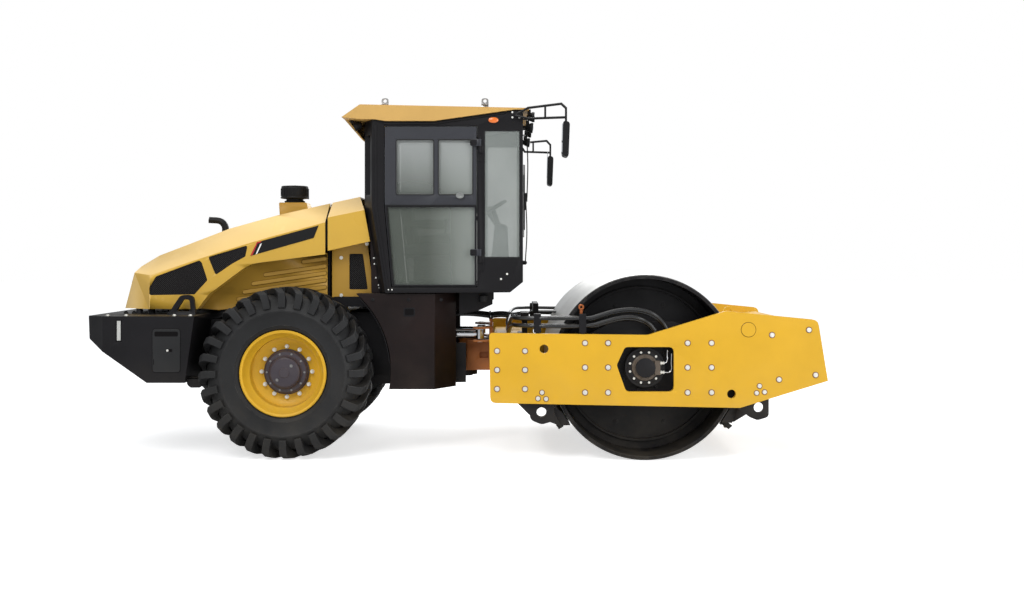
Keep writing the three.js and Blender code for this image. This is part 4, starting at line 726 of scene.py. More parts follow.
def drum():
    """The rolling face, and on each end a ribbed rim, a welded ring and the bolts of the head."""
    outer, lip, end = DRUM_RADIUS, DRUM_END - 0.022, DRUM_END
    face = [(outer - 0.008, -lip), (outer - 0.001, -lip), (outer, -lip + 0.001), (outer, lip - 0.001),
            (outer - 0.001, lip), (outer - 0.008, lip), (outer - 0.008, -lip)]
    disc("drum_rolling_face", "drum", "drum_steel", "drum_steel", face, DRUM_CENTRE, DRUM_STEPS, 25,
         stands_for=["drum_shell"])
    # how far in from the drum's surface, and how far out from the middle plane
    ribs = ((0.0352, HEAD_FACE + 0.001), (0.0082, HEAD_FACE + 0.001), (0.0082, lip + 0.0002),
            (0.0015, lip + 0.0002), (0.006, end - 0.008), (0.009, end - 0.0025), (0.011, end - 0.0025),
            (0.0115, end), (0.016, end), (0.0165, end - 0.004), (0.0195, end - 0.004), (0.020, end),
            (0.0245, end), (0.025, end - 0.004), (0.028, end - 0.004), (0.0285, end), (0.033, end),
            (0.0352, end - 0.002), (0.0352, HEAD_FACE + 0.001))
    weld = ((0.668, 0.0005), (0.668, 0.030), (0.672, 0.034), (0.688, 0.034), (0.692, 0.030), (0.692, 0.0005),
            (0.668, 0.0005))
    for hand, side in SIDES:
        for name, slot, smooth, profile in (
            ("rim", "drum_steel", 20, [(outer - depth, along) for depth, along in ribs]),
            ("head_ring", "drum_black", 25, [(radius, HEAD_FACE + out) for radius, out in weld]),
        ):
            disc(f"drum_{name}_{hand}", "drum", "drum_black", slot, facing(side, profile), DRUM_CENTRE,
                 DRUM_STEPS, smooth)
        bm = bmesh.new()
        for at in around(DRUM_CENTRE, side * HEAD_FACE, 0.560, 8, 0.5):
            bolt(bm, at, (0, side, 0), 0.018)
        shown(bm, "drum_head_bolts_" + hand, "drum", "drum_black", 30)


drum()
refined("drum_core", "drum_black", 0.004, 20)


# ---- front frame ----
PLATE_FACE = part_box("side_plate_left")[1].y
PLATE_BOLTS = (
    [(x, z) for x in (0.370, 0.609) for z in (0.949, 0.787, 0.624)]
    + [(x, z) for x in (1.122, 1.319, 1.999, 2.204) for z in (1.017, 0.808, 0.594)]
    + [(2.721, 1.086), (3.037, 1.129), (2.781, 0.705), (3.093, 0.744)]
)
SMALL_BOLTS = [(0.754, 0.594), (0.720, 0.543), (0.789, 0.539), (2.614, 0.650), (2.589, 0.590), (2.657, 0.598)]
MOTOR_FACE = 1.070


def plate_fasteners(hand, side):
    """The side plate's bolt heads, each in a rusty ring."""
    heads, rings = bmesh.new(), bmesh.new()
    outward = Vector((0, side, 0))
    for places, radius in ((PLATE_BOLTS, 0.0185), (SMALL_BOLTS, 0.0165)):
        for x, z in places:
            at = Vector((x, side * PLATE_FACE, z))
            rod(rings, at - outward * 0.002, at + outward * 0.0015, radius * 1.5, 24)
            for start, end, width, sides in ((0.0, 0.005, 1.1, 20), (0.004, 0.012, 1.0, 6),
                                             (0.010, 0.014, 0.5, 12)):
                rod(heads, at + outward * start, at + outward * end, radius * width, sides)
    shown(rings, "plate_bolt_rings_" + hand, "front_body", "rust_ring", 30)
    shown(heads, "plate_bolts_" + hand, "front_body", "bolt_steel", 30)


def drum_motor(hand, side):
    """The hydraulic motor in the side plate's window, with its ring of bolts, ports and pipes."""
    centre = Vector((DRUM_CENTRE.x, 0, DRUM_CENTRE.z))
    outward = Vector((0, side, 0))
    face = centre + outward * MOTOR_FACE
    bm = bmesh.new()
    spun(bm, facing(side, [
        (0.0, 1.102), (0.050, 1.102), (0.056, 1.098), (0.056, 1.092), (0.080, 1.090), (0.088, 1.086),
        (0.090, 1.078), (0.110, 1.076), (0.114, 1.072), (0.114, 1.0705), (0.0, 1.0705), (0.0, 1.102)]),
        centre, 48)
    for at in around(centre, side * 1.076, 0.100, 9):
        bolt(bm, at, outward, 0.0075)
    side_block(bm, side, (centre.x + 0.080, MOTOR_FACE + 0.002, centre.z - 0.060),
               (centre.x + 0.128, MOTOR_FACE + 0.036, centre.z + 0.060))
    shown(bm, "drum_motor_" + hand, "front_body", "motor_brown", 30, 0.003)
    bm = bmesh.new()
    for at in around(centre, side * MOTOR_FACE, 0.134, 12, 0.5):
        bolt(bm, at, outward, 0.0085)
    for z in (0.040, -0.040):
        port = face + Vector((0.128, side * 0.018, z))
        for start, end, width, sides in ((0.0, 0.014, 0.017, 6), (0.012, 0.026, 0.012, 12),
                                         (0.024, 0.036, 0.015, 6)):
            rod(bm, port + Vector((start, 0, 0)), port + Vector((end, 0, 0)), width, sides)
    shown(bm, "drum_motor_fittings_" + hand, "front_body", "bolt_steel", 30)
    for number, (z, rise, reach) in enumerate(((0.040, 0.150, 0.186), (-0.040, 0.120, 0.222))):
        start = face + Vector((0.162, side * 0.018, z))
        corner = face + Vector((reach, side * 0.018, z + 0.004))
        top = face + Vector((reach + 0.006, side * 0.012, rise))
        tube(f"drum_motor_pipe_{hand}_{number}",
             [start, corner + Vector((-0.010, 0, 0)), corner + Vector((0.002, 0, 0.016)), (corner + top) / 2,
              top],
             0.006, "front_body", "chrome", 3)
    ring = bmesh.new()
    spun(ring, facing(side, [
        (0.1505, 1.052), (0.1505, 1.066), (0.172, 1.066), (0.176, 1.062), (0.176, 1.030), (0.1505, 1.030),
        (0.1505, 1.052)]), centre, 48)
    for at in around(centre, side * 1.0005, 0.205, 8, 0.3):
        bolt(ring, at, outward, 0.014)
    shown(ring, "drum_mount_ring_" + hand, "front_body", "drum_black", 30, 0.0015)


def hydraulic_lines():
    """Two pairs of hoses along the right of the frame, in two clamps, that drop to the drum's motor."""
    upper = [(0.560, 1.222), (0.700, 1.228), (1.100, 1.228), (1.170, 1.233), (1.270, 1.262), (1.400, 1.296),
             (1.524, 1.306),
             (1.640, 1.292), (1.730, 1.252), (1.800, 1.186), (1.832, 1.130)]
    lower = [(0.560, 1.160), (0.700, 1.162), (1.100, 1.162), (1.200, 1.176), (1.300, 1.204), (1.400, 1.230),
             (1.507, 1.242),
             (1.600, 1.224), (1.680, 1.180), (1.730, 1.120)]
    front = -1.128
    for label, line, dip in (("upper", upper, 1.110), ("lower", lower, 1.074)):
        for row, back in enumerate((0.0, 0.042)):
            sink = 0.020 * row
            points = [Vector((x, front + back, z - sink * (x > 1.15))) for x, z in line[1:]]
            points[-1].y = points[-2].y = front + back + 0.028
            first = line[0]
            lead = [Vector((0.470, -0.62 + 0.05 * row, dip)),
                    Vector((0.500, -0.86 + 0.04 * row, first[1] - 0.010)),
                    Vector((first[0], -1.050 + back, first[1]))]
            replaced = ["hose_run"] if label == "upper" and row == 0 else ()
            tube(f"hose_{label}_{row}", lead + points, 0.017, "front_body", "hose_black", 5,
                 replaced)
    for label, z, dip in (("upper", 1.192, 1.110), ("lower", 1.130, 1.074)):
        for row in range(2):
            y = -0.62 + 0.05 * row
            tube(f"hose_cross_{label}_{row}", [Vector((0.470, y, dip)), Vector((0.462, -0.36, (z + dip) / 2)),
                                               Vector((0.480, -0.16 + 0.05 * row, z))],
                 0.017, "front_body", "hose_black", 4)
    clamps, bolts = bmesh.new(), bmesh.new()
    for x0 in (0.685, 1.072):
        block(clamps, (x0, -1.150, 1.104), (x0 + 0.061, -1.062, 1.266))
        for z in (1.120, 1.250):
            bolt(bolts, (x0 + 0.030, -1.1398, z), (0, -1, 0), 0.010)
    for x0 in (0.700, 1.087):
        block(clamps, (x0, -1.148, 1.0905), (x0 + 0.030, -1.112, 1.106))
    shown(clamps, "hose_clamps", "front_body", "black_paint", 30, 0.003)
    for vert in bolts.verts:
        vert.co.y = max(vert.co.y, -1.1502)
    shown(bolts, "hose_clamp_bolts", "front_body", "bolt_steel", 30)
    eye = bmesh.new()
    spun(eye, [(0.010, -0.014), (0.024, -0.014), (0.026, -0.010), (0.026, 0.010), (0.024, 0.014),
               (0.010, 0.014),
               (0.010, -0.014)], (1.092, -1.100, 1.322), 28)
    block(eye, (1.080, -1.106, 1.262), (1.104, -1.094, 1.302))
    shown(eye, "hose_guide_eye", "front_body", "copper", 30, 0.001)


def scraper_details():
    """Rubber strips, their clamping bars and bolts behind and in front of the drum."""
    lean = 0.58
    radius = DRUM_RADIUS + 0.020
    for name, sign in (("rear", -1), ("front", 1)):
        out = Vector((sign * math.cos(lean), 0, -math.sin(lean)))
        down = Vector((-sign * math.sin(lean), 0, -math.cos(lean)))
        at = Vector((DRUM_CENTRE.x, 0, DRUM_CENTRE.z)) + out * radius
        turn = Matrix.Rotation(math.atan2(-out.z, out.x), 4, "Y")

        def slab(bm, reach, drop, size):
            where = Matrix.Translation(at + out * reach + down * drop) @ turn
            bmesh.ops.create_cube(bm, size=1, matrix=where @ Matrix.Diagonal((*size, 1)))

        strips, bars, bolts = bmesh.new(), bmesh.new(), bmesh.new()
        for layer in range(3):
            half = DRUM_END - 0.060 - 0.002 * layer
            slab(strips, 0.055, 0.012 + 0.0102 * layer, (0.085 - 0.004 * layer, 2 * half, 0.010))
        slab(bars, 0.072, 0.0446, (0.050, 2 * DRUM_END - 0.18, 0.014))
        for step in range(11):
            y = (step / 10 - 0.5) * (2 * DRUM_END - 0.32)
            bolt(bolts, at + out * 0.072 + down * 0.0516 + Vector((0, y, 0)), down, 0.012)
        shown(strips, f"scraper_strips_{name}", "front_body", "rubber", 30, 0.002)
        shown(bars, f"scraper_bar_{name}", "front_body", "drum_black", 30, 0.002)
        shown(bolts, f"scraper_bolts_{name}", "front_body", "rim_steel", 30)


def rear_beam_details():
    """Bolt heads on the rear beam, and lifting eyes on the front beam."""
    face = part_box("rear_beam")[0].x
    bm = bmesh.new()
    for y in (-0.32, -0.16, 0.16, 0.32):
        for z in (0.70, 0.94):
            bolt(bm, (face, y, z), (-1, 0, 0), 0.016)
    shown(bm, "rear_beam_bolts", "front_body", "bolt_steel", 30)
    bm = bmesh.new()
    for side in (-1, 1):
        spun(bm, [(0.028, -0.016), (0.056, -0.016), (0.056, 0.016), (0.028, 0.016), (0.028, -0.016)],
             (2.74, side * 0.80, 1.186), 28)
    shown(bm, "lifting_eyes", "front_body", "yellow_paint", 30, 0.003)


for hand, side in SIDES:
    plate_fasteners(hand, side)
    drum_motor(hand, side)
hydraulic_lines()
scraper_details()
rear_beam_details()


# ---- steering joint ----
def joint_hoses():
    """Hoses over the joint in a rear run and a front run, each taken off its body and left where it lies,
    with their sleeves, manifold and strap.
    """
    base = 1.187
    # label, the two bodies, where the bend starts and ends, sag, its start and length, and the run's points
    runs = (("rear", "rear_body", "yoke", (-0.06, 0.24), 0.022, -0.20, 0.504, (
                -0.200, -0.150, -0.100, -0.050, 0.0, 0.050, 0.100, 0.150, 0.200, 0.250, 0.300)),
            ("front", "yoke", "front_body", (0.33, 0.48), 0.010, 0.30, 0.20, (
                0.304, 0.340, 0.380, 0.420, 0.460, 0.502)))
    sleeves = bmesh.new()
    for number, y in enumerate((-0.100, -0.056, -0.012, 0.032, 0.076, 0.118)):
        z = base + 0.012 * (number % 2)
        for label, body, other, bend, rise, first, length, stations in runs:
            points = [Vector((x, y, z + rise * math.sin(math.pi * (x - first) / length))) for x in stations]
            replaced = ["hoses_" + label] if number == 0 else ()
            run = tube(f"joint_hose_{label}_{number}", points, 0.018, body, "hose_black", 4,
                       replaced)
            run.parent = None
            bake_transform(run)
        rod(sleeves, (0.500, y, z), (0.560, y, z), 0.0155, 16)
        rod(sleeves, (0.556, y, z), (0.586, y, z), 0.021, 6)
    shown(sleeves, "joint_hose_sleeves", "front_body", "chrome", 30)
    manifold = bmesh.new()
    block(manifold, (0.586, -0.150, 1.150), (0.664, 0.170, 1.226))
    block(manifold, (0.600, -0.120, 1.0165), (0.650, 0.140, 1.152))
    shown(manifold, "hose_manifold", "front_body", "black_paint", 30, 0.004)
    straps = bmesh.new()
    block(straps, (0.284, -0.128, 1.1655), (0.302, 0.142, 1.170))
    block(straps, (0.284, -0.128, 1.216), (0.302, 0.142, 1.222))
    for y in (-0.126, 0.140):
        rod(straps, (0.293, y, 1.1655), (0.293, y, 1.228), 0.006, 10)
    shown(straps, "joint_hose_strap", "yoke", "black_paint", 30, 0.001)


def far_lines():
    """The left side's hoses, valve block and brackets beside the drum."""
    for number, (y, z, dip) in enumerate(((1.125, 1.215, 1.110), (1.080, 1.215, 1.110),
                                          (1.125, 1.160, 1.074), (1.080, 1.160, 1.074))):
        shift = 0.04 * (number % 2)
        run = ((0.470, 0.60 - shift, dip), (0.520, 0.88, z - 0.006), (0.640, 1.06, z), (0.760, y, z),
               (1.050, y, z), (1.200, y, z + 0.018), (1.380, y, z + 0.050), (1.520, y, z + 0.052),
               (1.660, y, z + 0.012), (1.760, y - 0.02, z - 0.060), (1.800, y - 0.03, 1.100))
        cross = ((0.470, 0.60 - shift, dip), (0.462, 0.36, (z + dip) / 2), (0.480, 0.20 - shift, z - 0.030))
        for label, points in (("hose", run), ("cross", cross)):
            tube(f"far_{label}_{number}", points, 0.016, "front_body", "hose_black")
    bm = bmesh.new()
    for x0 in (0.700, 1.080):
        block(bm, (x0, 1.062, 1.0905), (x0 + 0.060, 1.149, 1.262))
    block(bm, (0.560, -0.100, 1.030), (0.640, 0.160, 1.016))
    shown(bm, "far_hose_clamps", "front_body", "black_paint", 30, 0.003)
    bm = bmesh.new()
    block(bm, (0.716, 0.380, 1.190), (0.770, 0.900, 1.290))
    block(bm, (0.700, 0.520, 1.190), (0.957, 0.760, 1.206))
    shown(bm, "valve_block", "front_body", "black_paint", 30, 0.004)


joint_hoses()
far_lines()


# ---- rear half: hood, counterweight and tanks ----
class Skin:
    """Finds the outer surface of a piece, for plates and bolts that lie on it."""

    def __init__(self, piece):
        bm = bmesh.new()
        bm.from_mesh(piece.data)
        self.tree = BVHTree.FromBMesh(bm)
        bm.free()

    def met(self, side, x, z):
        """The first point met at (x, z) when coming in from one side, or None."""
        return self.tree.ray_cast(Vector((x, side * OUTSIDE, z)), Vector((0, -side, 0)))[0]


hood_surface = Skin(skins["hood"])
cowl_surface = Skin(skins["cowl"])
HOOD_WINDOWS = (
    [(-2.756, 1.409), (-2.756, 1.477), (-2.696, 1.577), (-2.305, 1.722), (-2.283, 1.700), (-2.232, 1.544),
     (-2.349, 1.416)],
    [(-2.227, 1.752), (-1.870, 1.859), (-1.893, 1.756), (-2.015, 1.689), (-2.160, 1.589)],
)
COWL_WINDOW = [(-0.9775, 1.457), (-0.9775, 1.781), (-0.8535, 1.781), (-0.8095, 1.457)]
WIRE_PITCH = 0.013
WIRE_HALF = 0.0013


def wire_mesh(bm, outline, y, step):
    """Crossed diagonal wires inside an outline in the X-Z plane, one layer a step outside the other."""
    for slope in (-1, 1):
        along = Vector((1, slope)).normalized()
        across = Vector((-along.y, along.x))
        levels = [Vector(corner).dot(across) for corner in outline]
        level = min(levels) + WIRE_PITCH / 2
        layer = y + (step if slope > 0 else 0)
        while level < max(levels):
            crossings = []
            for first, last in zip(outline, outline[1:] + outline[:1]):
                near, far = Vector(first).dot(across) - level, Vector(last).dot(across) - level
                if near * far < 0:
                    point = Vector(first).lerp(Vector(last), near / (near - far))
                    crossings.append(point.dot(along))
            crossings.sort()
            for start, end in zip(crossings[::2], crossings[1::2]):
                here, there = (across * level + along * reach for reach in (start, end))
                out = across * WIRE_HALF
                corners = [here - out, there - out, there + out, here + out]
                side_plate_of(bm, [tuple(corner) for corner in corners], layer, step * 0.8)
            level += WIRE_PITCH


RIBS = (((-1.395, 1.707), (-1.200, 1.735)), ((-1.740, 1.590), (-1.200, 1.668)),
        ((-1.850, 1.508), (-1.200, 1.604)),
        ((-1.930, 1.432), (-1.200, 1.540)), ((-1.985, 1.366), (-1.200, 1.476)))


def hood_side(hand, side):
    """The dark band with its two bars, the pressed ribs and the wire in the windows of one side."""
    for label, shade, lift, thickness, outline in (
        ("", "black_plastic", 0.0004, 0.0026, ((-1.848, 1.761), (-1.788, 1.885), (-1.234, 2.035),
                                               (-1.279, 1.923))),
        ("red_", "marker_red", 0.0031, 0.0014, ((-1.848, 1.761), (-1.788, 1.885), (-1.745, 1.897),
                                                (-1.756, 1.882),
                                                (-1.782, 1.874), (-1.828, 1.767))),
        ("white_", "reflector_white", 0.0031, 0.0014, ((-1.800, 1.776), (-1.757, 1.870), (-1.743, 1.874),
                                                       (-1.786, 1.780))),
    ):
        bm = bmesh.new()
        laid_on(bm, outline, hood_surface, side, lift, thickness)
        shown(bm, f"hood_band_{label}{hand}", "hood", shade, 40)
    for name, shade, radius, lift, height, edge in (("rib_lines", "rib_shadow", 0.021, 0.0004, 0.0012, 0.0),
                                                    ("ribs", "shaded_panel_paint", 0.0165, 0.0005, 0.0065, 0.0035)):
        bm = bmesh.new()
        for start, end in RIBS:
            laid_on(bm, stadium(start, end, radius), hood_surface, side, lift, height, 0.2)
        shown(bm, f"hood_{name}_{hand}", "hood", shade, 40, edge)
    bm = bmesh.new()
    face = outer_face("hood_grille_" + hand, side)
    for outline in HOOD_WINDOWS:
        wire_mesh(bm, outline, side * (face + 0.0006), side * 0.0009)
    shown(bm, "hood_wire_" + hand, "hood", "wire_grey", 30)


def hood_details():
    """The air precleaner: its bowl, the vanes round it and the nut on top."""
    low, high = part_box("precleaner")
    centre = (low + high) / 2
    disc("precleaner_bowl", "hood", "black_plastic", "black_plastic",
         [(0.0, 0.0), (0.088, 0.0), (0.098, 0.010), (0.098, 0.016), (0.080, 0.024), (0.080, 0.034),
          (0.126, 0.040),
          (0.135, 0.044), (0.135, 0.052), (0.128, 0.056), (0.130, 0.062), (0.130, 0.140), (0.126, 0.146),
          (0.128, 0.152), (0.122, 0.160), (0.060, 0.164), (0.0, 0.165)],
         (centre.x, centre.y, low.z + 0.0005), 56, 30, 0.002, ["precleaner"], **UPWARDS)
    bpy.data.objects.remove(skins.pop("precleaner"))
    bm = bmesh.new()
    for count, first, rise, near, far in ((28, 0.0, 0.101, (-0.003, 0.1295, -0.036), (0.003, 0.1335, 0.034)),
                                          (3, 0.5, 0.050, (-0.012, 0.126, -0.014), (0.012, 0.1345, 0.014))):
        for step in range(count):
            turn = Matrix.Rotation(step * FULL_TURN / count + first, 4, "Z")
            at = Matrix.Translation((centre.x, centre.y, low.z + rise)) @ turn
            bmesh.ops.transform(bm, verts=block(bm, near, far), matrix=at)
    shown(bm, "precleaner_vanes", "hood", "black_plastic", 30)
    disc("precleaner_nut", "hood", "bolt_steel", "black_plastic",
         [(0.0, 0.0), (0.010, 0.0), (0.010, 0.006), (0.004, 0.008), (0.0, 0.008)],
         (centre.x, centre.y, high.z - 0.004), 16, **UPWARDS)


COUNTERWEIGHT_TOP = 1.240


def counterweight_details():
    """Service panel, reflector, bolts, underside bracket and the hood's rest pads on each side."""
    panel = (-2.608, 0.756, -2.370, 1.131)
    for hand, side in SIDES:
        face = outer_face("counterweight", side)
        bm = bmesh.new()
        ring_plate(bm, grown(*panel, 0.004, 0.03), grown(*panel, 0.0, 0.03), side * (face + 0.0002),
                   side * 0.0008)
        shown(bm, "service_gap_" + hand, "rear_body", "mesh_black_and_shade", 30)
        plate("service_panel_" + hand, "rear_body", "panel_black",
              grown(*panel, -0.0005, 0.03),
              side * (face + 0.0002), side * 0.0035, 0.0016)
        bm = bmesh.new()
        front = side * (face + 0.0035)
        side_plate_of(bm, grown(-2.590, 1.066, -2.388, 1.108, 0.0, 0.012), front, side * 0.0008)
        side_plate_of(bm, grown(-2.600, 0.822, -2.594, 0.870, 0.0, 0.002), front, side * 0.0012)
        side_block(bm, side, (-2.462, face + 0.003, 0.934), (-2.438, face + 0.009, 0.956))
        shown(bm, "service_grip_" + hand, "rear_body", "mesh_black_and_shade", 30, 0.001)
        bm = bmesh.new()
        rod(bm, (-2.478, side * (face + 0.003), 0.945), (-2.478, side * (face + 0.010), 0.945), 0.010, 20)
        shown(bm, "service_latch_" + hand, "rear_body", "bolt_steel", 30, 0.001)
        plate("reflector_" + hand, "rear_body", "sticker_grey",
              grown(-2.917, 1.030, -2.885, 1.200, 0.0, 0.006), side * (face - 0.008), side * 0.007, 0.0015)
        bm = bmesh.new()
        side_plate_of(bm, rounded([(-2.330, 0.700), (-2.190, 0.700), (-2.190, 0.640), (-2.215, 0.615),
                                   (-2.300, 0.615), (-2.330, 0.645)], 0.012), side * (face - 0.075),
                                   side * 0.010)
        side_block(bm, side, (-2.330, face - 0.20, 0.690), (-2.190, face - 0.065, 0.700))
        shown(bm, "tail_bracket_" + hand, "rear_body", "black_paint", 30, 0.001)
        bm = bmesh.new()
        for x in (-3.02, -2.86, -2.44, -2.30):
            bolt(bm, (x, side * 0.980, COUNTERWEIGHT_TOP), (0, 0, 1), 0.015)
        shown(bm, "counterweight_bolts_" + hand, "rear_body", "bolt_steel", 30)
        bm = bmesh.new()
        for x in (-3.005, -2.93):
            foot = Vector((x, side * 0.56, COUNTERWEIGHT_TOP))
            rod(bm, foot, foot + Vector((0, 0, 0.012)), 0.020, 16)
            rod(bm, foot + Vector((0, 0, 0.012)), foot + Vector((0, 0, 0.024)), 0.013, 12)
        shown(bm, "hood_rest_pads_" + hand, "rear_body", "rubber", 30, 0.001)


def tail_face():
    """Tail lamps on the back of the counterweight."""
    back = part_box("counterweight")[0].x
    for hand, side in SIDES:
        for label, shade, out, y0, y1, edge in (("box", "black_plastic", 0.006, 0.700, 0.900, 0.0),
                                                ("red", "marker_red", 0.012, 0.708, 0.800, 0.008),
                                                ("orange", "marker_orange", 0.012, 0.805, 0.892, 0.008)):
            bm = bmesh.new()
            side_block(bm, side, (back - out, y0, 1.085 + edge), (back + 0.004 - out / 2, y1, 1.165 - edge))
            shown(bm, f"tail_lamp_{label}_{hand}", "rear_body", shade, 30, 0.003)


def tank_details():
    """Bolts and a handhold on each of the two tanks beside the frame, its inside a thin black plate of
    painted shade.
    """
    for hand, side in SIDES:
        face = outer_face("tank_" + hand, side)
        bm = bmesh.new()
        bolts_on(bm, ((-0.130, 1.372), (-0.740, 1.372), (-0.420, 1.372)), face, side, 0.013, True)
        shown(bm, "tank_bolts_" + hand, "rear_body", "black_paint", 30)
        plate("tank_handhold_" + hand, "rear_body", "black_paint",
              grown(-0.466, 1.222, -0.364, 1.300, 0.0, 0.018), side * face, side * 0.003, 0.001)
        # The handhold's inside is a thin black plate: painted shade of the recess.
        plate("tank_handhold_inside_" + hand, "rear_body", "mesh_black_and_shade",
              grown(-0.455, 1.233, -0.375, 1.289, 0.0, 0.012), side * (face + 0.0031), side * 0.0006)


def steering_details():
    """Pins and glands of the steering cylinders, and the cab's rubber mounts."""
    bases, ends, rubbers = bmesh.new(), bmesh.new(), bmesh.new()
    for hand, side in SIDES:
        low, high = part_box("steer_barrel_" + hand)
        y, z = (low.y + high.y) / 2, (low.z + high.z) / 2
        for start, end in ((high.z + 0.015, high.z + 0.030), (low.z - 0.030, low.z - 0.016)):
            rod(bases, (low.x + 0.045, y, start), (low.x + 0.045, y, end), 0.030, 20)
        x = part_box("steer_rod_" + hand)[1].x - 0.040
        for start, end in ((1.1055, 1.112), (0.964, 0.9705)):
            rod(ends, (x, y, start), (x, y, end), 0.026, 20)
        bm = bmesh.new()
        rod(bm, (high.x - 0.055, y, z), (high.x - 0.001, y, z), 0.0485, 32)
        for x in (low.x + 0.118, high.x - 0.100):
            rod(bm, (x, y, z + 0.040), (x, y, z + 0.058), 0.014, 6)
        shown(bm, "cylinder_gland_" + hand, "steer_barrel_" + hand, "rim_steel", 30, 0.001)
        rod(rubbers, (0.240, side * 0.60, 1.346), (0.240, side * 0.60, 1.404), 0.040, 24)
    shown(bases, "cylinder_base_pins", "rear_body", "bolt_steel", 30, 0.002)
    shown(ends, "cylinder_rod_pins", "yoke", "bolt_steel", 30, 0.002)
    shown(rubbers, "cab_mount_rubbers", "rear_body", "rubber", 30, 0.004)


for hand, side in SIDES:
    hood_side(hand, side)
hood_details()
counterweight_details()
tail_face()
tank_details()
steering_details()


# ---- cowl ----
def cowl_details(hand, side):
    """Bolts on the cowl's side, and the wire and a dark sheet of painted shade in its window."""
    bm = bmesh.new()
    for x, z in ((-1.051, 1.745), (-1.051, 1.404), (-0.800, 1.404), (-0.818, 1.872)):
        bolt(bm, cowl_surface.met(side, x, z), (0, side, 0), 0.0135)
    shown(bm, "cowl_bolts_" + hand, "rear_body", "bolt_steel", 30)
    bm = bmesh.new()
    wire_mesh(bm, COWL_WINDOW, side * 0.5405, side * 0.0009)
    shown(bm, "cowl_wire_" + hand, "rear_body", "wire_grey", 30)
    # A black sheet behind the wire: painted shade of the bay inside the window.
    bm = bmesh.new()
    side_block(bm, side, (-0.998, 0.530, 1.440), (-0.800, 0.5345, 1.796))
    shown(bm, "cowl_window_shade_" + hand, "rear_body", "mesh_black_and_shade", 30)


for hand, side in SIDES:
    cowl_details(hand, side)


# ---- black fillers behind the cowl and over the wheels ----
def hood_seal():
    """A black rubber face in the gap between the hood and the cowl."""
    bm = bmesh.new()
    upper = ((-0.676, 1.845), (0.676, 1.845), (0.676, 2.085), (0.470, 2.180), (-0.470, 2.180),
             (-0.676, 2.085))
    lower = ((-0.540, 1.290), (0.540, 1.290), (0.540, 1.844), (-0.540, 1.844))
    for outline in (upper, lower):
        sheet_of(bm, [(-1.1725, y, z) for y, z in outline], (0.020, 0, 0))
    shown(bm, "hood_seal", "rear_body", "mesh_black_and_shade", 30, 0.002)


def cab_filler():
    """The black wall between the cowl and the cab, with its small bolts."""
    outline = [(-0.765, 1.428), (-0.63289, 1.428), (-0.74954, 2.190), (-0.800, 2.190),
               (-0.772, 1.800)]
    for hand, side in SIDES:
        plate("cab_filler_" + hand, "rear_body", "tank_paint", outline, side * 0.640,
              side * 0.010, 0.002)
        bm = bmesh.new()
        bolts_on(bm, ((-0.742, 1.742), (-0.738, 1.690), (-0.724, 1.565), (-0.700, 1.500), (-0.692, 1.476)),
                 0.650, side, 0.0075)
        shown(bm, "cab_filler_bolts_" + hand, "rear_body", "reflector_white", 30)


def arch_liners():
    """A dark curved guard over the front of each rear wheel, and the foot of the cowl beside it."""
    centre = middle("tyre_right")
    turns = [math.radians(4 + step * 3) for step in range(15)]
    outline = [(centre.x + radius * math.cos(turn), centre.z + radius * math.sin(turn))
               for radius, run in ((0.893, turns), (0.884, turns[::-1])) for turn in run]
    foot = [(-1.115, 1.300), (-0.760, 1.300), (-0.760, 1.392), (-1.115, 1.392)]
    for hand, side in SIDES:
        plate("arch_liner_" + hand, "rear_body", "black_paint", outline, side * 0.56,
              side * 0.185, 0.002)
        plate("cowl_foot_" + hand, "rear_body", "black_paint", foot, side * 0.545,
              side * 0.006, 0.001)


hood_seal()
cab_filler()
arch_liners()


# ---- front frame: plugs and hole backs of the side plates ----
def plate_covers():
    """The round plug in each side plate with a ring of painted shadow in the gap round it, and a black disc
    of painted shade at the back of the open hole.
    """
    for hand, side in SIDES:
        for label, shade, profile in (
            # A thin dark ring round the plug: painted shadow in the gap.
            ("gap_", "rib_shadow", ((0.0, 0.0), (0.0655, 0.0), (0.0655, 0.0006), (0.0, 0.0006))),
            ("", "yellow_paint", ((0.0, 0.0), (0.061, 0.0), (0.061, 0.0035), (0.058, 0.0055), (0.0, 0.0055))),
        ):
            disc(f"plate_plug_{label}{hand}", "front_body", shade, "yellow_paint", profile,
                 (2.520, side * 1.150, 1.131), 48, axis=(0, side, 0))
        # A black disc inside the hole: painted shade.
        bm = bmesh.new()
        rod(bm, (2.380, side * 1.098, 0.582), (2.380, side * 1.104, 0.582), 0.048, 32)
        shown(bm, "hole_back_" + hand, "front_body", "mesh_black_and_shade", 30, 0.001)


plate_covers()


# ---- cab outside ----
CAB_FACE = 0.780
DOOR_PANES = ((-0.532, -0.193), (-0.157, 0.154))
PANE_LOW, PANE_HIGH = 2.303, 2.797


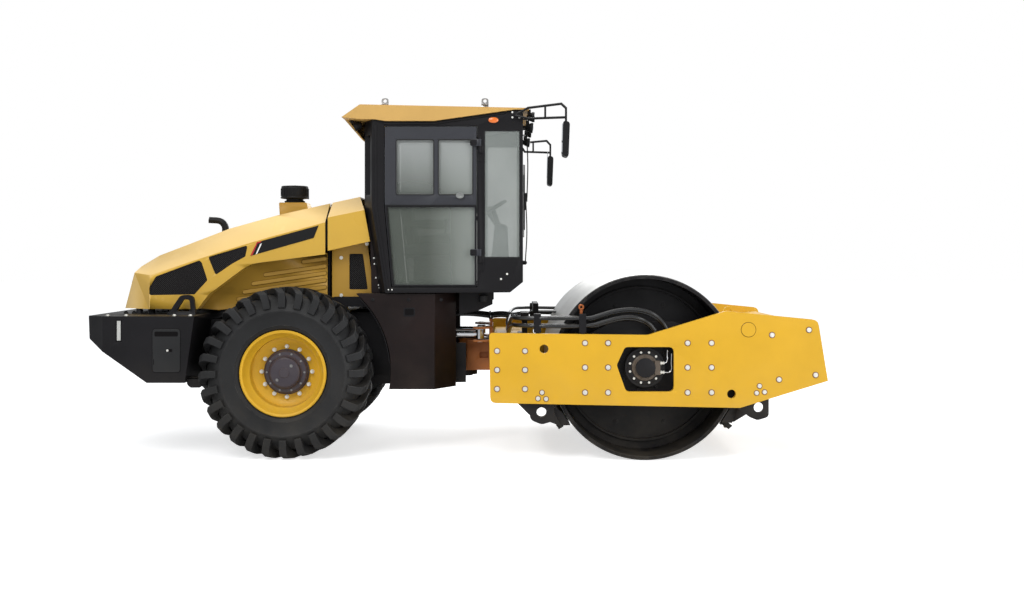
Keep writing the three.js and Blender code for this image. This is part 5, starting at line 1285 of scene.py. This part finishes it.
def door_details(hand, side):
    """Pane seals, the joint between the two halves, handle, hinges and lower trim of one door."""
    body, face = "door_" + hand, side * (CAB_FACE + 0.0002)
    for index, (start, end) in enumerate(DOOR_PANES):
        for label, shade, margins, y, depth, edge in (
            ("seal", "rubber", (0.002, -0.007), 0.772, 0.010, 0.0015),
            ("edge", "handle_grey", (-0.0072, -0.0090), 0.770, 0.0105, 0.0),
        ):
            bm = bmesh.new()
            outer, inner = (grown(start, PANE_LOW, end, PANE_HIGH, margin, 0.022) for margin in margins)
            ring_plate(bm, outer, inner, side * y, side * depth)
            shown(bm, f"pane_{label}_{index}_{hand}", body, shade, 30, edge)
    bm = bmesh.new()
    ring_plate(bm, [(-0.564, 1.491), (0.183, 1.491), (0.183, 2.208), (-0.627, 2.208)],
               [(-0.548, 1.505), (0.170, 1.505), (0.170, 2.196), (-0.607, 2.196)], face, side * 0.0018)
    shown(bm, "door_lower_trim_" + hand, body, "black_paint", 30, 0.0005)
    plate("door_joint_" + hand, body, "rubber",
          [(-0.629, 2.2085), (0.1832, 2.2085), (0.1832, 2.2160), (-0.629, 2.2160)], face, side * 0.003,
          0.0006)
    bm = bmesh.new()
    centre = Vector((0.038, side * (CAB_FACE + 0.0165), 2.2975))
    spun(bm, ((0.0, 0.0), (0.030, 0.0), (0.032, 0.002), (0.032, 0.005), (0.028, 0.0085), (0.018, 0.0080),
              (0.014, 0.0055), (0.0, 0.0050)), centre, 40, axis=(0, side, 0))
    oval(bm, centre, 1.12, 0.86)
    shown(bm, "door_handle_bezel_" + hand, body, "handle_grey", 40)
    bm = bmesh.new()
    for low in (1.762, 2.738):
        side_plate_of(bm, grown(0.128, low + 0.004, 0.186, low + 0.056, 0.0, 0.008), side * 0.8002,
                      side * 0.004)
        bolts_on(bm, ((0.144, low + 0.018), (0.144, low + 0.042)), 0.8042, side, 0.006)
    shown(bm, "door_hinge_leaves_" + hand, body, "black_paint", 30, 0.001)
    bm = bmesh.new()
    for low in (1.6275, 2.6035):
        side_plate_of(bm, grown(0.196, low, 0.248, low + 0.076, 0.0, 0.008), face, side * 0.008)
        bolts_on(bm, ((0.222, low + 0.022), (0.222, low + 0.054)), 0.7882, side, 0.007)
    shown(bm, "cab_hinge_plates_" + hand, "rear_body", "black_paint", 30, 0.0015)


def quarter_seals(hand, side):
    """The rubber round the rear quarter glass."""
    low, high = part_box("quarter_glass_" + hand)
    outer, inner = (grown(low.x, low.z, high.x, high.z, margin, 0.014) for margin in (0.001, -0.009))
    bm = bmesh.new()
    ring_plate(bm, outer, inner, side * 0.769, side * 0.006)
    shown(bm, "quarter_seal_" + hand, "rear_body", "rubber", 30, 0.0015)


def cab_bolts(hand, side):
    """Bolts, the rail on the pillar, the drip rail and the marker lamp on one side of the cab."""
    bm = bmesh.new()
    bolts_on(bm, ((0.402, 1.557), (0.456, 1.601)), CAB_FACE, side, 0.010)
    bolts_on(bm, ((0.503, 2.990), (0.503, 3.036), (0.564, 2.990), (0.564, 3.036)), 0.794, side, 0.009)
    bolts_on(bm, ((-0.598, 1.462), (-0.566, 1.462)), CAB_FACE, side, 0.0065)
    shown(bm, "cab_bolts_" + hand, "rear_body", "reflector_white", 30)
    for name, thickness, outline in (
        ("pillar", 0.007, ((-0.724, 2.915), (-0.700, 2.930), (-0.700, 2.205), (-0.591, 1.468),
                           (-0.613, 1.468),
                           (-0.724, 2.200))),
        ("drip", 0.010, ((-0.640, 2.931), (-0.640, 2.944), (-0.190, 2.944), (0.200, 3.000), (0.440, 3.040),
                         (0.440, 3.027), (0.198, 2.987), (-0.188, 2.931))),
    ):
        plate(f"{name}_rail_{hand}", "rear_body", "black_paint", outline,
              side * (CAB_FACE + 0.0002), side * thickness, 0.003)
    centre = Vector((0.335, side * 0.7803, 2.968))
    for label, shade, stretch, profile in (
        ("", "marker_orange", 1.8,
         ((0.0, 0.0), (0.026, 0.0), (0.026, 0.004), (0.021, 0.009), (0.010, 0.012), (0.0, 0.0125))),
        ("rim_", "black_plastic", 1.7, ((0.026, 0.0), (0.0295, 0.0), (0.0295, 0.0045), (0.0262, 0.0055))),
    ):
        bm = bmesh.new()
        spun(bm, profile, centre, 40, axis=(0, side, 0))
        oval(bm, centre, stretch)
        shown(bm, f"side_marker_{label}{hand}", "rear_body", shade, 40)


def lamp(name, at, aim, radius):
    """A round work lamp: a finned cup, a bezel, a lens and a bracket foot."""
    at, aim = Vector(at), Vector(aim).normalized()
    bm = bmesh.new()
    cup = [(0.0, -0.055), (radius * 0.45, -0.055), (radius * 0.55, -0.050), (radius * 0.80, -0.020),
           (radius * 0.98, -0.010), (radius, -0.006), (radius, 0.010), (radius * 0.93, 0.014),
           (radius * 0.90, 0.004), (0.0, 0.004)]
    spun(bm, cup, at, 40, aim, (0, 1, 0))
    for step in range(3):
        start = at - aim * (0.046 - step * 0.010)
        rod(bm, start, start + aim * 0.004, radius * (0.66 + step * 0.1), 24)
    block(bm, at + Vector((-0.050, -0.012, radius * 0.6)), at + Vector((-0.020, 0.012, radius + 0.022)))
    shown(bm, name + "_cup", "rear_body", "black_plastic", 35, 0.001)
    lens = [(0.0, 0.005), (radius * 0.88, 0.005), (radius * 0.86, 0.010), (radius * 0.5, 0.016), (0.0, 0.018)]
    disc(name + "_lens", "rear_body", "lamp_glass", "black_paint", lens, at, 40, 60, axis=aim, out=(0, 1, 0))


def roof_details():
    """Work lamps with their brackets, washers under the lifting eyes, the vent and the eyes' bare steel."""
    for hand, side in SIDES:
        y = side * 0.655
        lamp("front_lamp_high_" + hand, (0.690, y, 3.010), (1, 0, 0), 0.046)
        lamp("front_lamp_low_" + hand, (0.676, y, 2.912), (1, 0, -0.1), 0.046)
        lamp("rear_lamp_" + hand, (-0.905, side * 0.640, 2.930), (-1, 0, -0.2), 0.044)
        bm = bmesh.new()
        for (x0, z0), (x1, z1) in (((0.580, 2.985), (0.652, 2.993)), ((0.590, 2.880), (0.598, 3.057)),
                                   ((0.598, 2.893), (0.640, 2.900))):
            block(bm, (x0, y - 0.016, z0), (x1, y + 0.016, z1))
        shown(bm, "front_lamp_bracket_" + hand, "rear_body", "black_paint", 30, 0.001)
        bm = bmesh.new()
        for z in (2.90, 2.94, 3.02):
            bolt(bm, (0.598, y, z), (1, 0, 0), 0.006, False)
        shown(bm, "front_lamp_bolts_" + hand, "rear_body", "bolt_steel", 30)
        for place, x in (("rear", -0.6355), ("front", 0.2585)):
            bm = bmesh.new()
            rod(bm, (x, side * 0.697, 3.1135), (x, side * 0.697, 3.121), 0.032, 24)
            shown(bm, f"roof_eye_washer_{place}_{hand}", "rear_body", "rim_steel", 30, 0.001)
    disc("roof_vent_cap", "rear_body", "black_plastic", "yellow_paint",
         ((0.0, 0.0), (0.060, 0.0), (0.060, 0.006), (0.052, 0.010), (0.050, 0.016), (0.0, 0.018)),
         (-0.20, 0, 3.113), 48, 35, 0.001, **UPWARDS)
    roof = skins["roof"].data
    roof.materials.append(SHADE["rim_steel"])
    eyes_from = max(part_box("roof")[1].z - 0.0595, 3.1135)
    for face in roof.polygons:
        if face.center.z > eyes_from:
            face.material_index = 1


def mirror_faces():
    """The glass of the two mirrors."""
    for hand, side, tip, top in (("right", -1, 0.9705, 3.033), ("left", 1, 0.9105, 2.957)):
        bm = bmesh.new()
        glass = []
        for y, z in grown(-0.076, top - 0.384, 0.076, top - 0.114, 0.0, 0.028):
            x = tip - 0.035 + 0.007 * (z - (top - 0.400)) / 0.304
            glass.append((x - 0.0005, side * 0.9443 + y, z))
        sheet_of(bm, glass, (-0.0025, 0, 0))
        shown(bm, "mirror_face_" + hand, "rear_body", "mirror_glass", 30, 0.0008)


def wipers():
    """The two wipers of the windshield: pivot, arm and blade."""
    lean, reach = -0.09, 0.30
    for index, (y, top, low) in enumerate(((-0.34, 2.955, 2.300), (0.10, 1.700, 2.240))):
        bm = bmesh.new()
        rod(bm, (0.5985, y, top - 0.004), (0.642, y, top - 0.004), 0.020, 20)
        rod(bm, (0.642, y, top - 0.004), (0.650, y, top - 0.004), 0.012, 6)
        shown(bm, f"wiper_pivot_{index}", "rear_body", "black_plastic", 35, 0.001)
        arm = [(0.634, y, top), (0.648, y + lean * 0.5, (top + low) / 2), (0.640, y + lean, low)]
        tube(f"wiper_arm_{index}", arm, 0.0055, "rear_body", "black_paint")
        bm = bmesh.new()
        for width, deep, out in ((0.004, 0.012, 0.590), (0.008, 0.006, 0.605), (0.005, 0.008, 0.6135)):
            block(bm, (out, y + lean - width, low - reach), (out + deep, y + lean + width, low + reach))
        block(bm, (0.612, y + lean - 0.009, low - 0.040), (0.644, y + lean + 0.009, low + 0.040))
        shown(bm, f"wiper_blade_{index}", "rear_body", "rubber", 30, 0.001)


def screen_seals():
    """The rubber round the windshield, made in the X-Z plane and turned to face forwards."""
    low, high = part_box("windshield")
    outer, inner = (grown(low.y, low.z, high.y, high.z, margin, radius)
                    for margin, radius in ((0.001, 0.025), (-0.012, 0.032)))
    bm = bmesh.new()
    ring_plate(bm, outer, inner, 0.585, 0.006)
    swap = Matrix(((0, 1, 0, 0), (1, 0, 0, 0), (0, 0, 1, 0), (0, 0, 0, 1)))
    bmesh.ops.transform(bm, verts=bm.verts, matrix=swap)
    shown(bm, "windshield_seal", "rear_body", "rubber", 30, 0.0015)


# ---- cab inside ----
def pad(name, centre, size, lean, crown, channels):
    """A crowned cushion: its sides pull in between the corners and its top has sewn channels."""
    squeeze, roundness = 0.035, 0.34
    bm = bmesh.new()
    bmesh.ops.create_cube(bm, size=2)
    bmesh.ops.subdivide_edges(bm, edges=bm.edges, cuts=15, use_grid_fill=True)
    half = Vector(size) / 2
    for vert in bm.verts:
        u, v, w = vert.co
        length = (abs(u) ** 5 + abs(v) ** 5 + abs(w) ** 5) ** 0.2
        u, v, w = (axis * (1 - roundness + roundness / length) for axis in (u, v, w))
        pull_x, pull_y = 1 - squeeze * (1 - v * v), 1 - squeeze * (1 - u * u)
        rise = crown * (1 - u * u) * (1 - v * v) if w > 0 else 0
        if w > 0.2:
            for spot in channels:
                rise -= 0.010 * math.exp(-((u - spot) / 0.035) ** 2) * (1 - v ** 8)
            for spot in (-0.62, 0.62):
                rise -= 0.008 * math.exp(-((v - spot) / 0.040) ** 2) * (1 - u ** 8)
        vert.co = (u * half.x * pull_x, v * half.y * pull_y, w * half.z + rise * max(w, 0))
    bmesh.ops.rotate(bm, verts=bm.verts, cent=(0, 0, 0), matrix=Matrix.Rotation(lean, 3, "Y"))
    bmesh.ops.translate(bm, verts=bm.verts, vec=centre)
    made = shown(bm, name, "rear_body", "seat_fabric", 180, stands_for=["seat"])
    smooth = made.modifiers.new("smooth", "SUBSURF")
    smooth.levels = smooth.render_levels = 1
    return made


def seat_pieces():
    """The operator's seat: padded cushion, back, headrest and arm pads on a sprung base."""
    upright = math.radians(90 - 12.8)
    for name, centre, size, lean, crown, channels, fill in (
        ("seat_cushion", (-0.262, 0, 1.818), (0.500, 0.500, 0.100), 0.0, 0.020, (-0.35, 0.30), 0.85),
        ("seat_back", (-0.478, 0, 2.060), (0.430, 0.455, 0.090), upright, 0.018, (-0.30, 0.25), 0.85),
        ("seat_headrest", (-0.545, 0, 2.318), (0.105, 0.270, 0.080), upright, 0.012, (), 0.9),
        ("arm_pad_right", (-0.290, -0.296, 2.068), (0.330, 0.060, 0.044), 0.0, 0.006, (), 0.9),
        ("arm_pad_left", (-0.290, 0.296, 2.068), (0.330, 0.060, 0.044), 0.0, 0.006, (), 0.9),
    ):
        pad(name, centre, size, lean, crown, channels)
    bm = bmesh.new()
    for side in (-1, 1):
        side_block(bm, side, (-0.455, 0.282, 2.026), (-0.135, 0.310, 2.046))
        side_block(bm, side, (-0.482, 0.225, 2.010), (-0.452, 0.300, 2.046))
    for half, (x0, z0), (x1, z1) in ((0.225, (-0.530, 1.765), (-0.020, 1.782)),
                                     (0.180, (-0.500, 1.740), (-0.060, 1.765)),
                                     (0.190, (-0.470, 1.4875), (-0.040, 1.520))):
        block(bm, (x0, -half, z0), (x1, half, z1))
    for step in range(7):
        inset, z = 0.012 * (step % 2), 1.520 + step * 0.0315
        block(bm, (-0.430 + inset, -0.160 + inset, z), (-0.080 - inset, 0.160 - inset, z + 0.0315))
    shown(bm, "seat_base", "rear_body", "black_plastic", 30, 0.004, stands_for=["seat"])


def interior():
    """Floor mat, headliner, side panel and console, grab handle, travel lever and instruments."""
    bm = bmesh.new()
    for step in range(30):
        x = -0.50 + step * 0.030
        block(bm, (x, -0.700, 1.4875), (x + 0.018, 0.700, 1.4955))
    block(bm, (-0.52, -0.712, 1.4872), (0.42, 0.712, 1.4905))
    shown(bm, "floor_mat", "rear_body", "rubber", 30, 0.002)
    plate("headliner", "rear_body", "pale_grey",
          [(-0.610, 2.930), (-0.190, 2.930), (0.480, 3.022), (0.480, 3.034), (-0.192, 2.942),
           (-0.610, 2.942)],
          -0.700, 1.400, 0.003)
    plate("side_panel", "rear_body", "pale_grey",
          rounded([(0.052, 1.560), (0.152, 1.548), (0.152, 1.780), (0.128, 1.872), (0.090, 1.872),
                   (0.052, 1.780)], 0.02), -0.690, 0.012, 0.003)
    tube("grab_handle", [(0.150, -0.700, 1.690), (0.112, -0.722, 1.700), (0.106, -0.724, 1.800),
                         (0.112, -0.722, 1.930), (0.150, -0.700, 1.955)],
         0.010, "rear_body", "grey_paint")
    plate("side_console", "rear_body", "black_plastic",
          rounded([(-0.470, 1.500), (-0.060, 1.500), (-0.060, 1.930), (-0.120, 1.985), (-0.470, 1.950)],
                  0.03),
          0.380, 0.190, 0.012)
    bm = bmesh.new()
    rod(bm, (-0.160, 0.475, 1.970), (-0.150, 0.475, 2.070), 0.010, 12)
    spun(bm, [(0.0, -0.034), (0.016, -0.030), (0.024, -0.012), (0.024, 0.012), (0.018, 0.030), (0.0, 0.036)],
         (-0.147, 0.475, 2.100), 20, **UPWARDS)
    shown(bm, "travel_lever", "rear_body", "black_plastic", 50)
    bm = bmesh.new()
    block(bm, (0.330, -0.120, 2.060), (0.372, 0.120, 2.200), Matrix.Rotation(math.radians(-20), 4, "Y"))
    shown(bm, "instrument_panel", "rear_body", "black_plastic", 30, 0.008)


for hand, side in SIDES:
    door_details(hand, side)
    quarter_seals(hand, side)
    cab_bolts(hand, side)
roof_details()
mirror_faces()
wipers()
screen_seals()
seat_pieces()
interior()


# ---- floor, backdrop and light ----
def stage():
    """A pale floor that reads white to the camera away from the shadow, in plain soft light."""
    def seen(w):
        """1 where the camera looks, straight or through glass, and 0 for light that bounces."""
        ray = w.node("ShaderNodeLightPath").outputs
        return w.maths("MAXIMUM", ray["Is Camera Ray"], ray["Is Transmission Ray"])

    def chosen(w, plain, to_camera, last_node, socket="Surface"):
        mixed = w.node("ShaderNodeMixShader", {0: seen(w), 1: plain.outputs[0], 2: to_camera.outputs[0]})
        w.feed(w.tree.nodes[last_node].inputs[socket], mixed.outputs[0])

    bm = bmesh.new()
    bmesh.ops.create_grid(bm, x_segments=1, y_segments=1, size=60)
    mesh = bpy.data.meshes.new("floor")
    bm.to_mesh(mesh)
    bm.free()
    floor = bpy.data.objects.new("floor", mesh)
    scene.collection.objects.link(floor)
    pale = bpy.data.materials.new("pale_floor")
    pale.use_nodes = True
    w = Wiring(pale.node_tree)
    shader = pale.node_tree.nodes["Principled BSDF"]
    shader.inputs["Base Color"].default_value = (0.72, 0.72, 0.72, 1)
    shader.inputs["Roughness"].default_value = 0.9
    glow = w.node("ShaderNodeEmission", {"Color": (1, 1, 1, 1), "Strength": 0.62})
    lifted = w.node("ShaderNodeAddShader", {0: shader.outputs[0], 1: glow.outputs[0]})
    chosen(w, shader, lifted, "Material Output")
    mesh.materials.append(pale)

    world = bpy.data.worlds.new("studio")
    scene.world = world
    world.use_nodes = True
    w = Wiring(world.node_tree)
    soft = world.node_tree.nodes["Background"]
    soft.inputs["Color"].default_value = (0.94, 0.97, 1.0, 1)
    soft.inputs["Strength"].default_value = 0.62
    white = w.node("ShaderNodeBackground", {"Color": (1, 1, 1, 1), "Strength": 1.0})
    chosen(w, soft, white, "World Output")

    for name, place, aim, size, power in (
        ("key", (-3.5, -9.0, 9.0), (0.3, 0, 1.2), 5.0, 620),
        ("fill", (6.5, -8.0, 3.5), (0.5, 0, 1.2), 5.0, 260),
        ("back", (2.0, 9.0, 7.0), (0, 0, 1.5), 6.0, 420),
        ("top", (0.0, -0.5, 9.5), (0, 0, 1.5), 6.0, 300),
    ):
        data = bpy.data.lights.new(name, "AREA")
        data.size = size
        data.energy = power
        light = bpy.data.objects.new(name, data)
        light.location = place
        light.rotation_euler = (Vector(aim) - Vector(place)).to_track_quat("-Z", "Y").to_euler()
        scene.collection.objects.link(light)


stage()
